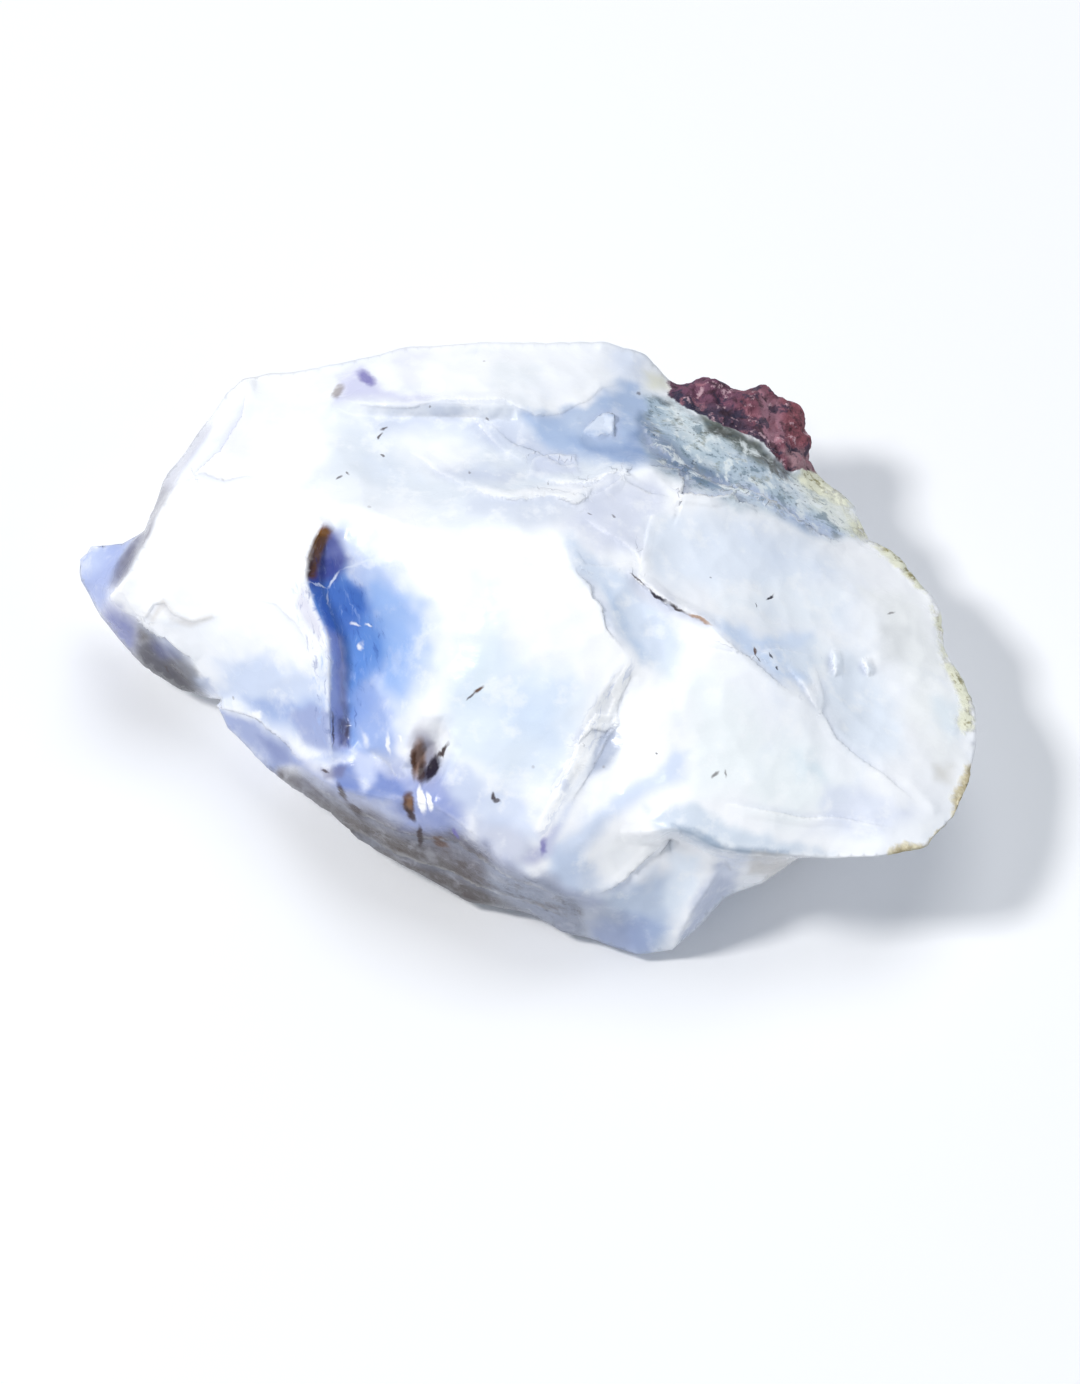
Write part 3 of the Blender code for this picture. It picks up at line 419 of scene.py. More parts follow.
        [(24.0, 69.9), (28.0, 69.6), (33.0, 70.0), (33.3, 74.6), (29.4, 73.6), (26.0, 71.6)],
        0.9, 0.85, srgb(160, 180, 224)),
    "apron lilac": (
        [(28.4, 71.4), (31.0, 70.4), (33.2, 71.0), (33.2, 75.0), (30.4, 74.4)], 0.5, 0.7,
        srgb(158, 168, 210)),
    "apron lip white": (
        [(29.4, 75.0), (33.0, 74.9), (35.4, 75.6), (33.6, 76.4), (30.6, 76.2)], 0.35, 0.3,
        srgb(234, 238, 252)),
    "flap chip": (
        [(24.8, 71.2), (26.2, 71.1), (26.4, 71.9), (24.9, 71.9)], 0.2, 0.9, srgb(252, 253, 255)),
    "flange": (
        [(6.8, 55.4), (9.0, 53.6), (14.4, 52.0), (12.8, 55.6), (11.0, 58.4), (10.6, 60.2),
         (9.2, 61.6), (6.6, 58.4)], 0.4, 0.95, srgb(158, 174, 224)),
    "flange tip": (
        [(6.4, 54.8), (10.6, 53.6), (9.8, 56.6), (7.6, 58.0)], 1.0, 0.7, srgb(198, 210, 240)),
    # The flange fold and the edge slivers are painted shade on the steep, undercut left side.
    "flange fold": (
        [(14.4, 52.0), (14.1, 54.6), (12.8, 57.4), (11.5, 58.9), (10.9, 58.4), (11.6, 56.4),
         (12.8, 54.2)], 0.3, 0.95, srgb(60, 56, 96)),
    "edge sliver": (
        [(15.8, 48.4), (16.9, 48.6), (14.3, 54.4), (13.6, 53.4)], 0.4, 0.85, srgb(86, 78, 102)),
    "edge sliver top": (
        [(19.8, 42.2), (21.0, 42.4), (17.0, 48.8), (15.9, 48.5)], 0.5, 0.5, srgb(140, 136, 168)),
    "shoulder foot": (
        [(11.0, 58.9), (12.6, 58.9), (13.6, 61.4), (12.2, 61.0)], 0.3, 0.9, srgb(250, 250, 252)),
    "hackle shade": (
        [(14.4, 61.2), (15.2, 61.4), (16.4, 59.6), (17.6, 61.2), (19.2, 61.9), (21.4, 61.2),
         (21.4, 61.9), (19.0, 62.6), (17.0, 62.1), (16.2, 60.9), (15.2, 62.3)], 0.3, 0.6,
        srgb(214, 208, 200)),
    # The skirt is the steep lower-left side: its dark grey and violet are partly thin, dark opal
    # and partly painted shade.
    "skirt violet": (
        [(9.0, 61.8), (11.0, 60.2), (13.4, 62.0), (13.2, 65.2), (11.6, 65.0)], 0.6, 0.95,
        srgb(98, 108, 176)),
    "skirt brown": (
        [(13.4, 62.2), (15.2, 63.0), (16.0, 64.0), (13.6, 64.0)], 0.25, 0.95, srgb(62, 52, 52)),
    "skirt shade grey": (
        [(13.2, 64.2), (15.4, 63.8), (17.8, 65.0), (19.6, 67.2), (20.6, 70.4), (17.6, 70.0),
         (13.6, 66.8)], 0.4, 0.95, srgb(44, 40, 58)),
    "skirt upper": (
        [(14.6, 64.0), (16.8, 64.2), (18.0, 65.8), (15.8, 65.7)], 0.4, 0.8, srgb(96, 102, 148)),
    "skirt shade edge": (
        [(14.0, 66.0), (16.4, 66.9), (19.8, 69.2), (18.0, 70.0), (13.8, 67.4)], 0.4, 0.7,
        srgb(38, 34, 48)),
    "skirt toe": (
        [(19.2, 67.9), (20.8, 67.8), (21.6, 69.4), (20.6, 69.6)], 0.25, 0.95,
        srgb(176, 190, 220)),
    "notch lilac": (
        [(22.4, 41.4), (24.0, 40.8), (24.4, 43.6), (26.4, 45.6), (22.4, 46.2), (21.0, 44.8)],
        1.2, 0.5, srgb(224, 225, 242)),
    "middle blue": (
        [(46.0, 64.8), (50.0, 64.4), (54.6, 66.8), (59.0, 68.4), (57.6, 73.0), (55.8, 78.0),
         (50.0, 78.4), (45.4, 75.6), (44.6, 70.0)], 2.4, 0.75, srgb(219, 232, 247)),
    "middle core": (
        [(50.4, 68.6), (56.0, 69.4), (55.4, 73.4), (51.0, 73.6)], 1.8, 0.5, srgb(203, 220, 244)),
    "middle stripe": (
        [(47.6, 57.2), (50.2, 58.4), (50.6, 64.4), (48.8, 70.0), (46.2, 70.0), (47.6, 63.0)],
        1.4, 0.45, srgb(218, 231, 238)),
    "low blue": (
        [(44.6, 76.4), (48.0, 77.4), (53.0, 80.0), (54.0, 83.4), (50.0, 83.0), (45.6, 80.0)],
        1.2, 0.75, srgb(206, 217, 240)),
    "v patch": (
        [(59.6, 73.8), (61.4, 72.9), (62.2, 74.6), (60.6, 76.8), (58.6, 77.4)], 0.5, 0.85,
        srgb(168, 179, 202)),
    "v white": (
        [(62.8, 65.8), (61.0, 67.4), (58.6, 71.4), (56.2, 76.6), (53.4, 82.4), (54.4, 83.2),
         (57.2, 78.6), (59.8, 73.8), (62.0, 69.6), (63.1, 67.4)], 0.3, 0.9, srgb(253, 254, 255)),
    "v facet": (
        [(62.8, 68.0), (65.0, 71.2), (67.0, 74.4), (66.2, 76.2), (61.4, 79.4), (58.6, 81.8),
         (58.6, 79.0), (61.6, 76.2), (62.6, 73.6), (61.6, 71.6)], 0.6, 0.85, srgb(250, 252, 255)),
    "v seam": (
        [(56.2, 80.4), (57.4, 80.0), (55.8, 83.6), (54.6, 85.6), (54.0, 84.4)], 0.5, 0.6,
        srgb(206, 216, 240)),
    "violet smear": (
        [(54.4, 82.6), (55.6, 82.4), (55.0, 84.8), (53.4, 86.2), (52.8, 85.4), (53.8, 84.2)],
        0.9, 0.5, srgb(164, 164, 208)),
    "pocket lip shade": (
        [(30.4, 58.4), (31.3, 60.6), (32.2, 62.4), (32.6, 64.4), (31.2, 62.8), (30.0, 60.4)],
        0.35, 0.4, srgb(190, 186, 212)),
    "toe blue": (
        [(33.6, 76.6), (36.0, 76.2), (40.0, 77.6), (41.0, 79.6), (36.8, 79.6), (33.8, 78.6)],
        0.6, 0.85, srgb(110, 132, 194)),
    "toe chip": (
        [(35.6, 75.2), (37.4, 75.8), (37.9, 78.0), (36.6, 79.2), (35.6, 77.0)], 0.5, 0.85,
        srgb(206, 215, 240)),
    "toe dark": (
        [(32.2, 76.8), (34.8, 76.6), (34.4, 77.6), (32.8, 77.7)], 0.3, 0.7, srgb(116, 116, 152)),
}

# Clouds of colour in the host rock, in the same form, laid over maroon.
ROCK_MAROON = srgb(124, 72, 88)
ROCK_CLOUDS = {
    "violet left": (
        [(66.0, 37.0), (71.0, 36.0), (74.2, 39.0), (73.6, 41.8), (70.0, 41.4), (66.6, 39.8)],
        0.8, 0.7, srgb(112, 72, 98)),
    "ink foot": (
        [(67.4, 38.6), (70.0, 39.8), (73.0, 40.6), (76.0, 42.4), (78.0, 44.6), (77.2, 45.6),
         (74.0, 43.0), (70.0, 41.6), (66.8, 40.2)], 0.5, 0.85, srgb(48, 46, 70)),
    "pink flank": (
        [(76.0, 38.6), (78.0, 39.6), (78.6, 43.0), (77.4, 44.6), (76.4, 42.0)], 0.6, 0.65,
        srgb(194, 144, 160)),
    "red shoulder": (
        [(78.4, 38.6), (81.6, 41.0), (81.8, 44.6), (79.6, 44.4), (78.6, 41.6)], 0.6, 0.7,
        srgb(142, 78, 86)),
    "pale foot": (
        [(78.6, 44.8), (81.8, 44.8), (81.8, 47.2), (79.4, 47.2)], 0.5, 0.6, srgb(176, 146, 152)),
}

# Colours of the small marks in the opal, and the white of painted highlights.
STAINS = {
    "amber": srgb(168, 112, 44),
    "brown": srgb(98, 68, 50),
    "rust": srgb(146, 112, 88),
    "umber": srgb(62, 46, 46),
    "ink": srgb(32, 26, 44),
    "smoke": srgb(142, 136, 160),
    "violet": srgb(112, 104, 176),
    "vein": srgb(226, 235, 253),
    "painted glint": srgb(255, 255, 255),
}

# Small marks in the opal, and a few glints that are painted highlights: (start, end, half width,
# soft border, colour, strength), with places and widths in millimetres on the sheet. Noise nudges
# them, and the strands, by the wobble.
MARK_WOBBLE = 1.3
MARKS = [
    ((31.0, 58.2), (32.8, 58.8), 0.05, 0.11, "vein", 0.8),
    ((32.8, 58.8), (34.1, 57.2), 0.07, 0.14, "vein", 0.85),
    ((34.1, 57.2), (37.6, 55.8), 0.05, 0.16, "vein", 0.7),
    ((32.8, 58.8), (33.1, 60.6), 0.04, 0.11, "vein", 0.5),
    ((33.3, 70.6), (33.6, 75.3), 0.06, 0.10, "umber", 0.8),
    ((34.8, 72.2), (34.9, 73.8), 0.14, 0.25, "umber", 0.6),
    ((42.3, 73.6), (42.8, 77.4), 0.80, 1.2, "smoke", 0.65),
    ((42.1, 74.2), (42.0, 77.6), 0.50, 0.40, "rust", 0.85),
    ((41.6, 74.4), (41.5, 78.0), 0.16, 0.30, "brown", 0.9),
    ((42.4, 76.0), (42.3, 78.4), 0.24, 0.35, "umber", 0.9),
    ((43.7, 75.8), (42.9, 77.9), 0.50, 0.28, "ink", 0.97),
    ((44.9, 74.3), (43.8, 75.8), 0.12, 0.20, "umber", 0.95),
    ((41.0, 79.4), (41.0, 81.2), 0.48, 0.25, "brown", 0.95),
    ((41.1, 79.8), (41.1, 80.6), 0.16, 0.25, "rust", 0.8),
    ((40.7, 80.8), (41.4, 81.8), 0.20, 0.22, "umber", 0.9),
    # Painted highlights on the glassy drop beside the vug.
    ((42.0, 78.6), (42.5, 81.0), 0.34, 0.14, "painted glint", 0.97),
    ((42.9, 79.2), (43.2, 80.8), 0.22, 0.12, "painted glint", 0.97),
    ((41.9, 82.4), (42.2, 84.4), 0.18, 0.22, "umber", 0.9),
    ((43.2, 83.8), (45.0, 84.6), 0.20, 0.26, "brown", 0.85),
    ((45.5, 82.6), (45.9, 83.8), 0.10, 0.25, "violet", 0.8),
    ((47.3, 69.5), (48.3, 68.8), 0.18, 0.16, "brown", 0.95),
    ((46.8, 70.1), (47.3, 69.5), 0.08, 0.12, "umber", 0.8),
    ((49.2, 79.1), (49.4, 79.8), 0.12, 0.16, "umber", 0.9),
    ((49.4, 79.8), (50.0, 79.9), 0.10, 0.14, "umber", 0.8),
    ((62.7, 57.4), (64.7, 58.9), 0.06, 0.08, "umber", 0.8),
    ((64.7, 58.9), (66.5, 60.4), 0.13, 0.10, "ink", 0.95),
    ((66.5, 60.4), (68.6, 61.5), 0.09, 0.10, "umber", 0.85),
    ((68.6, 61.5), (70.9, 62.8), 0.12, 0.16, "amber", 0.7),
    ((76.4, 59.9), (77.2, 59.6), 0.11, 0.07, "ink", 0.95),
    ((75.6, 60.2), (75.5, 60.7), 0.04, 0.06, "ink", 0.8),
    ((75.2, 64.9), (75.3, 65.5), 0.07, 0.08, "brown", 0.9),
    ((75.3, 65.5), (75.6, 66.1), 0.05, 0.08, "umber", 0.8),
    ((76.7, 65.3), (77.0, 65.8), 0.07, 0.07, "ink", 0.85),
    ((77.4, 66.6), (77.5, 66.9), 0.11, 0.08, "ink", 0.9),
    ((88.6, 61.4), (89.4, 61.0), 0.07, 0.12, "umber", 0.6),
    ((71.1, 77.6), (71.5, 77.2), 0.10, 0.14, "umber", 0.7),
    ((72.2, 77.0), (72.4, 77.5), 0.06, 0.10, "umber", 0.6),
    ((33.4, 39.5), (33.9, 38.5), 0.34, 0.34, "brown", 0.6),
    ((36.0, 37.2), (37.1, 38.0), 0.34, 0.45, "violet", 0.8),
    ((38.1, 42.9), (38.6, 42.8), 0.08, 0.08, "umber", 0.85),
    ((37.8, 43.7), (38.1, 43.3), 0.12, 0.08, "umber", 0.85),
    ((38.1, 45.7), (38.3, 45.8), 0.10, 0.08, "umber", 0.75),
    ((33.8, 48.0), (34.2, 47.8), 0.10, 0.10, "umber", 0.75),
    ((34.8, 47.4), (35.0, 47.6), 0.09, 0.08, "umber", 0.7),
    ((42.8, 40.5), (42.9, 40.7), 0.06, 0.06, "umber", 0.5),
    ((48.6, 41.6), (48.8, 42.0), 0.06, 0.07, "umber", 0.6),
    ((47.0, 47.2), (47.2, 47.4), 0.07, 0.07, "umber", 0.5),
    ((58.8, 51.4), (59.2, 51.6), 0.06, 0.07, "umber", 0.6),
    ((60.8, 51.6), (61.2, 51.8), 0.07, 0.07, "umber", 0.6),
    ((54.8, 48.3), (54.9, 48.5), 0.05, 0.06, "umber", 0.5),
    ((32.4, 77.0), (32.7, 77.1), 0.12, 0.12, "umber", 0.8),
    ((33.9, 78.6), (34.6, 79.8), 0.24, 0.30, "umber", 0.9),
    ((34.9, 80.3), (36.2, 81.4), 0.22, 0.30, "umber", 0.8),
    ((16.4, 66.7), (16.7, 67.3), 0.10, 0.10, "umber", 0.85),
    ((54.2, 85.4), (54.6, 83.6), 0.14, 0.35, "violet", 0.7),
    ((65.6, 75.2), (65.7, 75.3), 0.08, 0.07, "umber", 0.7),
    ((71.0, 57.8), (71.1, 57.9), 0.05, 0.06, "ink", 0.5),
    ((63.9, 38.9), (64.1, 39.1), 0.14, 0.14, "umber", 0.6),
    # Painted highlights on the pocket's glassy faces.
    ((35.2, 62.4), (36.2, 62.6), 0.05, 0.16, "painted glint", 0.8),
    ((36.7, 62.4), (37.3, 62.7), 0.07, 0.14, "painted glint", 0.85),
    ((36.2, 64.4), (36.1, 65.0), 0.09, 0.18, "painted glint", 0.85),
    ((38.8, 73.2), (39.1, 75.6), 0.08, 0.16, "painted glint", 0.9),
    ((39.8, 73.4), (40.2, 74.2), 0.07, 0.16, "painted glint", 0.8),
    ((36.4, 73.2), (37.0, 74.8), 0.07, 0.35, "painted glint", 0.55),
]

# Where the material adds blotches or strands of its own: a mask's name and the cloud it fills.
STRANDED = {
    "moss": "moss band",
    "front": "front shade and smoke",
    "pocket": "pocket blue",
    "feather": "v white",
}

# Noises of the material: (lumps to a metre, detail, roughness, distortion, stretch of the place).
# Those of the strands have their lumps to a millimetre of the sheet.
GRAINS = {
    "fine": (1400.0, 3.0, 0.62, 0.0, None),
    "wobble across": (430.0, 3.0, 0.62, 0.0, None),
    "wobble down": (430.0, 3.0, 0.62, 0.0, (1.0, -1.0, 1.0)),
    "milk": (150.0, 4.0, 0.55, 0.5, None),
    "curd": (380.0, 4.0, 0.60, 0.0, None),
    "specked": (60.0, 0.0, 0.50, 0.0, None),
    "moss blotch": (520.0, 4.0, 0.68, 0.4, None),
    "moss olive": (420.0, 4.0, 0.72, 0.0, (1.0, -1.0, 1.0)),
    "smoke mottle": (380.0, 4.0, 0.65, 0.0, None),
    "smoke strand": (0.42, 4.0, 0.63, 0.5, None),
    "curtain strand": (0.50, 4.0, 0.63, 0.5, None),
    "splinter strand": (0.34, 4.0, 0.63, 0.5, None),
    "chipping": (420.0, 3.0, 0.60, 0.0, None),
    "skin": (900.0, 4.0, 0.65, 0.0, None),
    "swell": (260.0, 2.0, 0.50, 0.0, None),
    "hackle": (1300.0, 4.0, 0.65, 0.7, (0.5, 1.4, 1.4)),
    "wax": (220.0, 1.0, 0.50, 0.0, None),
    "rock mottle": (560.0, 5.0, 0.72, 0.0, None),
    "rock pink": (760.0, 4.0, 0.72, 0.0, (-1.0, 1.0, 1.0)),
    "rock ink": (480.0, 4.0, 0.65, 0.0, (1.0, 1.0, -1.0)),
    "rock edge": (900.0, 3.0, 0.60, 0.0, None),
    "floor": (6.0, 2.0, 0.50, 0.0, None),
}
# How strands run: (lean on the sheet in degrees, times finer across than along).
STRANDS = {
    "smoke strand": (27.0, 3.2),
    "curtain strand": (80.0, 4.0),
    "splinter strand": (118.0, 3.6),
}
SPECKS_PER_METRE = 210.0
CRUMBS_PER_METRE = 1100.0

# Tints that the material lays over the opal, one after another: (mask, noise, where it starts,
# where it is full, strength, colour). Curds and thin veils come first, then the mossy band, the
# smoky front, the curtains of the pocket and the splintered flakes down the middle of the face.
OPAL_TINTS = [
    (None, "milk", 0.50, 0.78, 0.22, srgb(206, 219, 244)),
    ("pale", "curd", 0.50, 0.70, 0.45, srgb(253, 254, 255)),
    ("specked", "speck", 0.06, 0.03, 0.50, srgb(110, 92, 84)),
    ("moss", "moss blotch", 0.50, 0.64, 0.85, srgb(232, 239, 240)),
    ("moss", "moss blotch", 0.47, 0.36, 0.75, srgb(112, 132, 146)),
    ("moss", "moss olive", 0.54, 0.66, 0.50, srgb(112, 114, 90)),
    ("moss", "fine", 0.60, 0.70, 0.70, srgb(58, 72, 88)),
    ("moss", "moss root", -1.5, -0.2, 0.85, srgb(62, 64, 62)),
    ("front", "smoke strand", 0.54, 0.74, 0.50, srgb(190, 190, 200)),
    ("front", "smoke strand", 0.46, 0.30, 0.50, srgb(62, 56, 60)),
    ("front", "smoke mottle", 0.50, 0.76, 0.40, srgb(196, 198, 208)),
    ("front", "smoke mottle", 0.50, 0.28, 0.60, srgb(80, 66, 58)),
    ("pocket", "curtain strand", 0.54, 0.74, 0.55, srgb(166, 192, 240)),
    ("pocket", "curtain strand", 0.45, 0.28, 0.50, srgb(48, 78, 156)),
    # Painted shade in the grey-blue strands between the white splinters.
    ("feather", "splinter strand", 0.47, 0.37, 0.50, srgb(182, 193, 220)),
    ("feather", "splinter strand", 0.52, 0.60, 0.90, srgb(255, 255, 255)),
]
ROCK_TINTS = [
    (None, "rock mottle", 0.48, 0.36, 0.80, srgb(58, 30, 44)),
    (None, "rock mottle", 0.52, 0.64, 0.60, srgb(176, 118, 130)),
    (None, "rock pink", 0.57, 0.66, 0.75, srgb(216, 180, 190)),
    (None, "rock ink", 0.54, 0.62, 0.80, srgb(38, 38, 64)),
]
# Painted shade under the lips, and the crests' white, partly chipped and partly a painted
# highlight.
LIP_SHADE_COLOUR = srgb(186, 195, 220)
LIP_CREST_WHITE_AND_HIGHLIGHT = srgb(254, 254, 255)
RIND_OLIVE = srgb(144, 134, 70)
RIND_CREAM = srgb(237, 237, 212)
CRUST_TAN = srgb(186, 168, 116)
CRUST_CREAM = srgb(228, 218, 182)
OPAL_WHITE = srgb(250, 251, 254)
OPAL_COOL = srgb(224, 234, 246)
FLOOR_COLOURS = (srgb(243, 244, 247), srgb(246, 247, 249))

# Bump heights in millimetres, and roughness: what is there anyway, and more of it where a mask is.
SWELL_BUMP = 0.10
FINE_BUMP = 0.008
LIP_BUMP = 0.55
HACKLE_BUMP = 0.012
MORE_HACKLE = {"front": 0.10, "lip crest": 0.08, "rind": 0.14}
OPAL_ROUGHNESS = 0.16
MORE_ROUGHNESS = {"waxy": 0.12, "lip crest": 0.30, "rind": 0.45, "front": 0.16}
ROCK_BUMPS = {"rock mottle": 0.50, "crumbs": 0.34, "rock ink": 0.20}
ROCK_ROUGHNESS = 0.78
FLOOR_ROUGHNESS = 0.9
OPAL_INDEX = 1.45
OPAL_SPECULAR = 0.28
ROCK_INDEX = 1.5

# An edge is kept as a ridge from the first bend on, and fully crisp from the second.
CREASE_FROM = math.radians(11.0)
CREASE_FULL = math.radians(32.0)
CUT_LEVELS = 2
MERGE_WITHIN = 1e-7

# Relief by noise: (size of its lumps in millimetres, seed, height in millimetres).
FAR_SHELLS = [(12.0, 1, 1.3), (4.6, 2, 0.40)]
NEAR_SHELLS = [(7.5, 3, 0.28), (2.8, 4, 0.13)]
OPAL_GRAIN = [(1.6, 5, 0.03)]
ROCK_CRUMBS = [(1.5, 6, 0.42), (0.7, 7, 0.22)]
RIND_CRUST = [(0.9, 8, 0.18)]
SHELL_LEVEL = 0.4
# The slow drift between white and cool white, in the same form.
COLOUR_DRIFT = [(16.0, 9, 1.0), (6.0, 10, 0.4)]

# Each seed shifts its noise by this many lumps, and scallops reach their ridges this fast.
NOISE_SHIFT = (17.3, 5.1, 9.7)
SCALLOP_SHIFT = (3.7, 11.9, 7.3)
SCALLOP_GAIN = 1.6

# Two noises bend the outlines of clouds, lips and the scab: the size of their lumps, and how far
# they bend each outline, in millimetres. Towards steep faces they die away by the open gain.
BROAD_SIZE = 4.0
SMALL_SIZE = 1.4
LIP_BEND = 0.3
SCAB_BEND = 0.3
BROAD_BEND = 0.7
SMALL_BEND = 0.35
STRAND_BEND = 0.6
PATCHINESS = 0.6
OPEN_GAIN = 1.5
STEEP_FROM = 0.65
STEEP_FULL = 0.25

# Half widths of the weathered skin and how ragged it is, in millimetres, and the depth that all
# such masks are kept within.
RIND_HALF = 1.4
RIND_RAGGED = 1.6
CREAM_HALF = 1.3
CREAM_RAGGED = 1.2
DEPTH_LIMIT = 3.0

# A lip is followed up to this far from its line, in millimetres. Its height tapers towards its
# ends by this power, and the ground on its low side dips by this share over this distance.
LIP_REACH = 3.0
LIP_TAPER = 0.6
LIP_DIP = 0.4
LIP_DIP_RUN = 0.7

# The rest face stays flat up to here, and host rock and rind start above here, in metres.
RELIEF_STARTS = (0.0, 0.0015)
ROCK_STARTS = (0.006, 0.009)

# Points that face this far away from sight are not tested for it, and rays start clear of the
# skin by this much. Then what is seen, and colours on steep faces, are averaged over rounds.
FACING_AWAY = -0.1
RAY_START = 0.3 * MM
SEEN_ROUNDS = 7
STEEP_ROUNDS = 8


def crease_by_angle(bm):
    """Marks the broken ridges, so that rounding the mesh keeps them crisp."""
    crease = bm.edges.layers.float.new("crease_edge")
    for edge in bm.edges:
        bend = edge.calc_face_angle(0.0)
        edge[crease] = min(1.0, max(0.0, (bend - CREASE_FROM) / (CREASE_FULL - CREASE_FROM)))


def finely_cut(node):
    """A merged copy of the solid, rounded between its ridges and cut fine."""
    bm = bmesh.new()
    bm.from_mesh(node.data)
    bmesh.ops.remove_doubles(bm, verts=bm.verts[:], dist=MERGE_WITHIN)
    crease_by_angle(bm)
    mesh = bpy.data.meshes.new("stone cage")
    bm.to_mesh(mesh)
    bm.free()
    cage = bpy.data.objects.new("stone cage", mesh)
    bpy.context.scene.collection.objects.link(cage)
    rounding = cage.modifiers.new("rounding", "SUBSURF")
    rounding.levels = CUT_LEVELS
    rounding.render_levels = CUT_LEVELS
    evaluated = cage.evaluated_get(bpy.context.evaluated_depsgraph_get())
    fine = bpy.data.meshes.new_from_object(evaluated)
    bpy.data.objects.remove(cage)
    return fine


def read_points(mesh):
    """The mesh's points, in metres."""
    flat = np.empty(len(mesh.vertices) * 3)
    mesh.vertices.foreach_get("co", flat)
    return flat.reshape(-1, 3)


def write_points(mesh, points):
    """Moves the mesh's points."""
    mesh.vertices.foreach_set("co", points.ravel())
    mesh.update()


def read_normals(mesh):
    """The way that the surface faces at each point."""
    flat = np.empty(len(mesh.vertices) * 3)
    mesh.vertex_normals.foreach_get("vector", flat)
    return flat.reshape(-1, 3)


class Sheet:
    """The sheet that places on the stone are named on."""

    def __init__(self, points):
        self.foot = self.lift(points).min()

    def lift(self, points):
        """How far up the sheet points are, in millimetres."""
        tilted = points[:, 1] * math.sin(SIGHT_ELEVATION) + points[:, 2] * math.cos(SIGHT_ELEVATION)
        return tilted / MM

    def places(self, points):
        """Across and down on the sheet, in millimetres, of points on the stone."""
        across = points[:, 0] / MM + SHEET_MIDDLE_ACROSS
        down = SHEET_FOOT_DOWN - (self.lift(points) - self.foot)
        return np.stack([across, down], axis=1)


def from_line(places, line):
    """For each place: its distance to a line, the side it is on, and how far along it is."""
    line = np.array(line, dtype=float)
    steps = np.linalg.norm(np.diff(line, axis=0), axis=1)
    walked = 0.0
    nearest = np.full(len(places), math.inf)
    side = np.ones(len(places))
    share = np.zeros(len(places))
    for start, end, step in zip(line[:-1], line[1:], steps):
        run = end - start
        off = places - start
        along = np.clip(off @ run / step ** 2, 0, 1)
        gap = np.linalg.norm(off - along[:, None] * run, axis=1)
        closer = gap < nearest
        nearest[closer] = gap[closer]
        side[closer] = np.sign(run[1] * off[closer, 0] - run[0] * off[closer, 1])
        share[closer] = (walked + along[closer] * step) / steps.sum()
        walked += step
    return nearest, side, share


def inside_by(places, outline):
    """How far inside a closed outline each place is, in millimetres; less than 0 outside."""
    outline = np.array(outline, dtype=float)
    gap = from_line(places, np.vstack([outline, outline[:1]]))[0]
    within = np.zeros(len(places), dtype=bool)
    for start, end in zip(outline, np.roll(outline, -1, axis=0)):
        drop = end[1] - start[1]
        if drop == 0:
            continue
        crosses = (start[1] > places[:, 1]) != (end[1] > places[:, 1])
        at = start[0] + (places[:, 1] - start[1]) / drop * (end[0] - start[0])
        within ^= crosses & (places[:, 0] < at)
    return np.where(within, gap, -gap)


def ease(values, low, high):
    """Eases from 0 at low to 1 at high."""
    t = np.clip((values - low) / (high - low), 0, 1)
    return t * t * (3 - 2 * t)


def clouds_of_noise(points, size, seed):
    """Smooth noise from -1 to 1, with lumps of about the size in millimetres."""
    shift = Vector([seed * part for part in NOISE_SHIFT])
    scale = 1 / (size * MM)
    return np.array([noise.noise(Vector(point) * scale + shift) for point in points])


def scallops(points, size, seed):
    """Shell-like hollows that meet in sharp ridges: 0 in the middle of each, up to 1 at a ridge."""
    shift = Vector([seed * part for part in SCALLOP_SHIFT])
    scale = 1 / (size * MM)
    depth = []
    for point in points:
        gaps, _ = noise.voronoi(Vector(point) * scale + shift)
        depth.append(min(1.0, gaps[0] ** 2 * SCALLOP_GAIN))
    return np.array(depth)


def summed(form, points, layers, level=0.0):
    """Several sizes of a form of noise, each counted from a level and scaled to its height."""
    return sum((form(points, size, seed) - level) * height for size, seed, height in layers)


def noise_pair(points, size, seed):
    """Two noises side by side, to shift places across and down the sheet."""
    both = [clouds_of_noise(points, size, seed), clouds_of_noise(points, size, seed + 1)]
    return np.stack(both, axis=1)


def spread(mesh, values, rounds):
    """Averages values with those of neighbouring points, a few times over."""
    ends = np.empty(len(mesh.edges) * 2, dtype=np.int64)
    mesh.edges.foreach_get("vertices", ends)
    first, second = ends.reshape(-1, 2).T
    count = np.bincount(ends, minlength=len(values)) + 1
    for _ in range(rounds):
        total = values.copy()
        np.add.at(total, first, values[second])
        np.add.at(total, second, values[first])
        values = total / count
    return values


def seen_share(mesh, points, normals):
    """1 where the line of sight reaches the stone, and 0 on its far side, softened between."""
    toward = Vector(TOWARD_SIGHT)
    bm = bmesh.new()
    bm.from_mesh(mesh)
    tree = BVHTree.FromBMesh(bm)
    bm.free()
    facing = normals @ np.array(TOWARD_SIGHT)
    seen = np.zeros(len(points))
    for index in np.nonzero(facing > FACING_AWAY)[0]:
        start = Vector(points[index]) + (Vector(normals[index]) + toward) * RAY_START
        if tree.ray_cast(start, toward)[0] is None:
            seen[index] = 1.0
    return spread(mesh, seen, SEEN_ROUNDS)


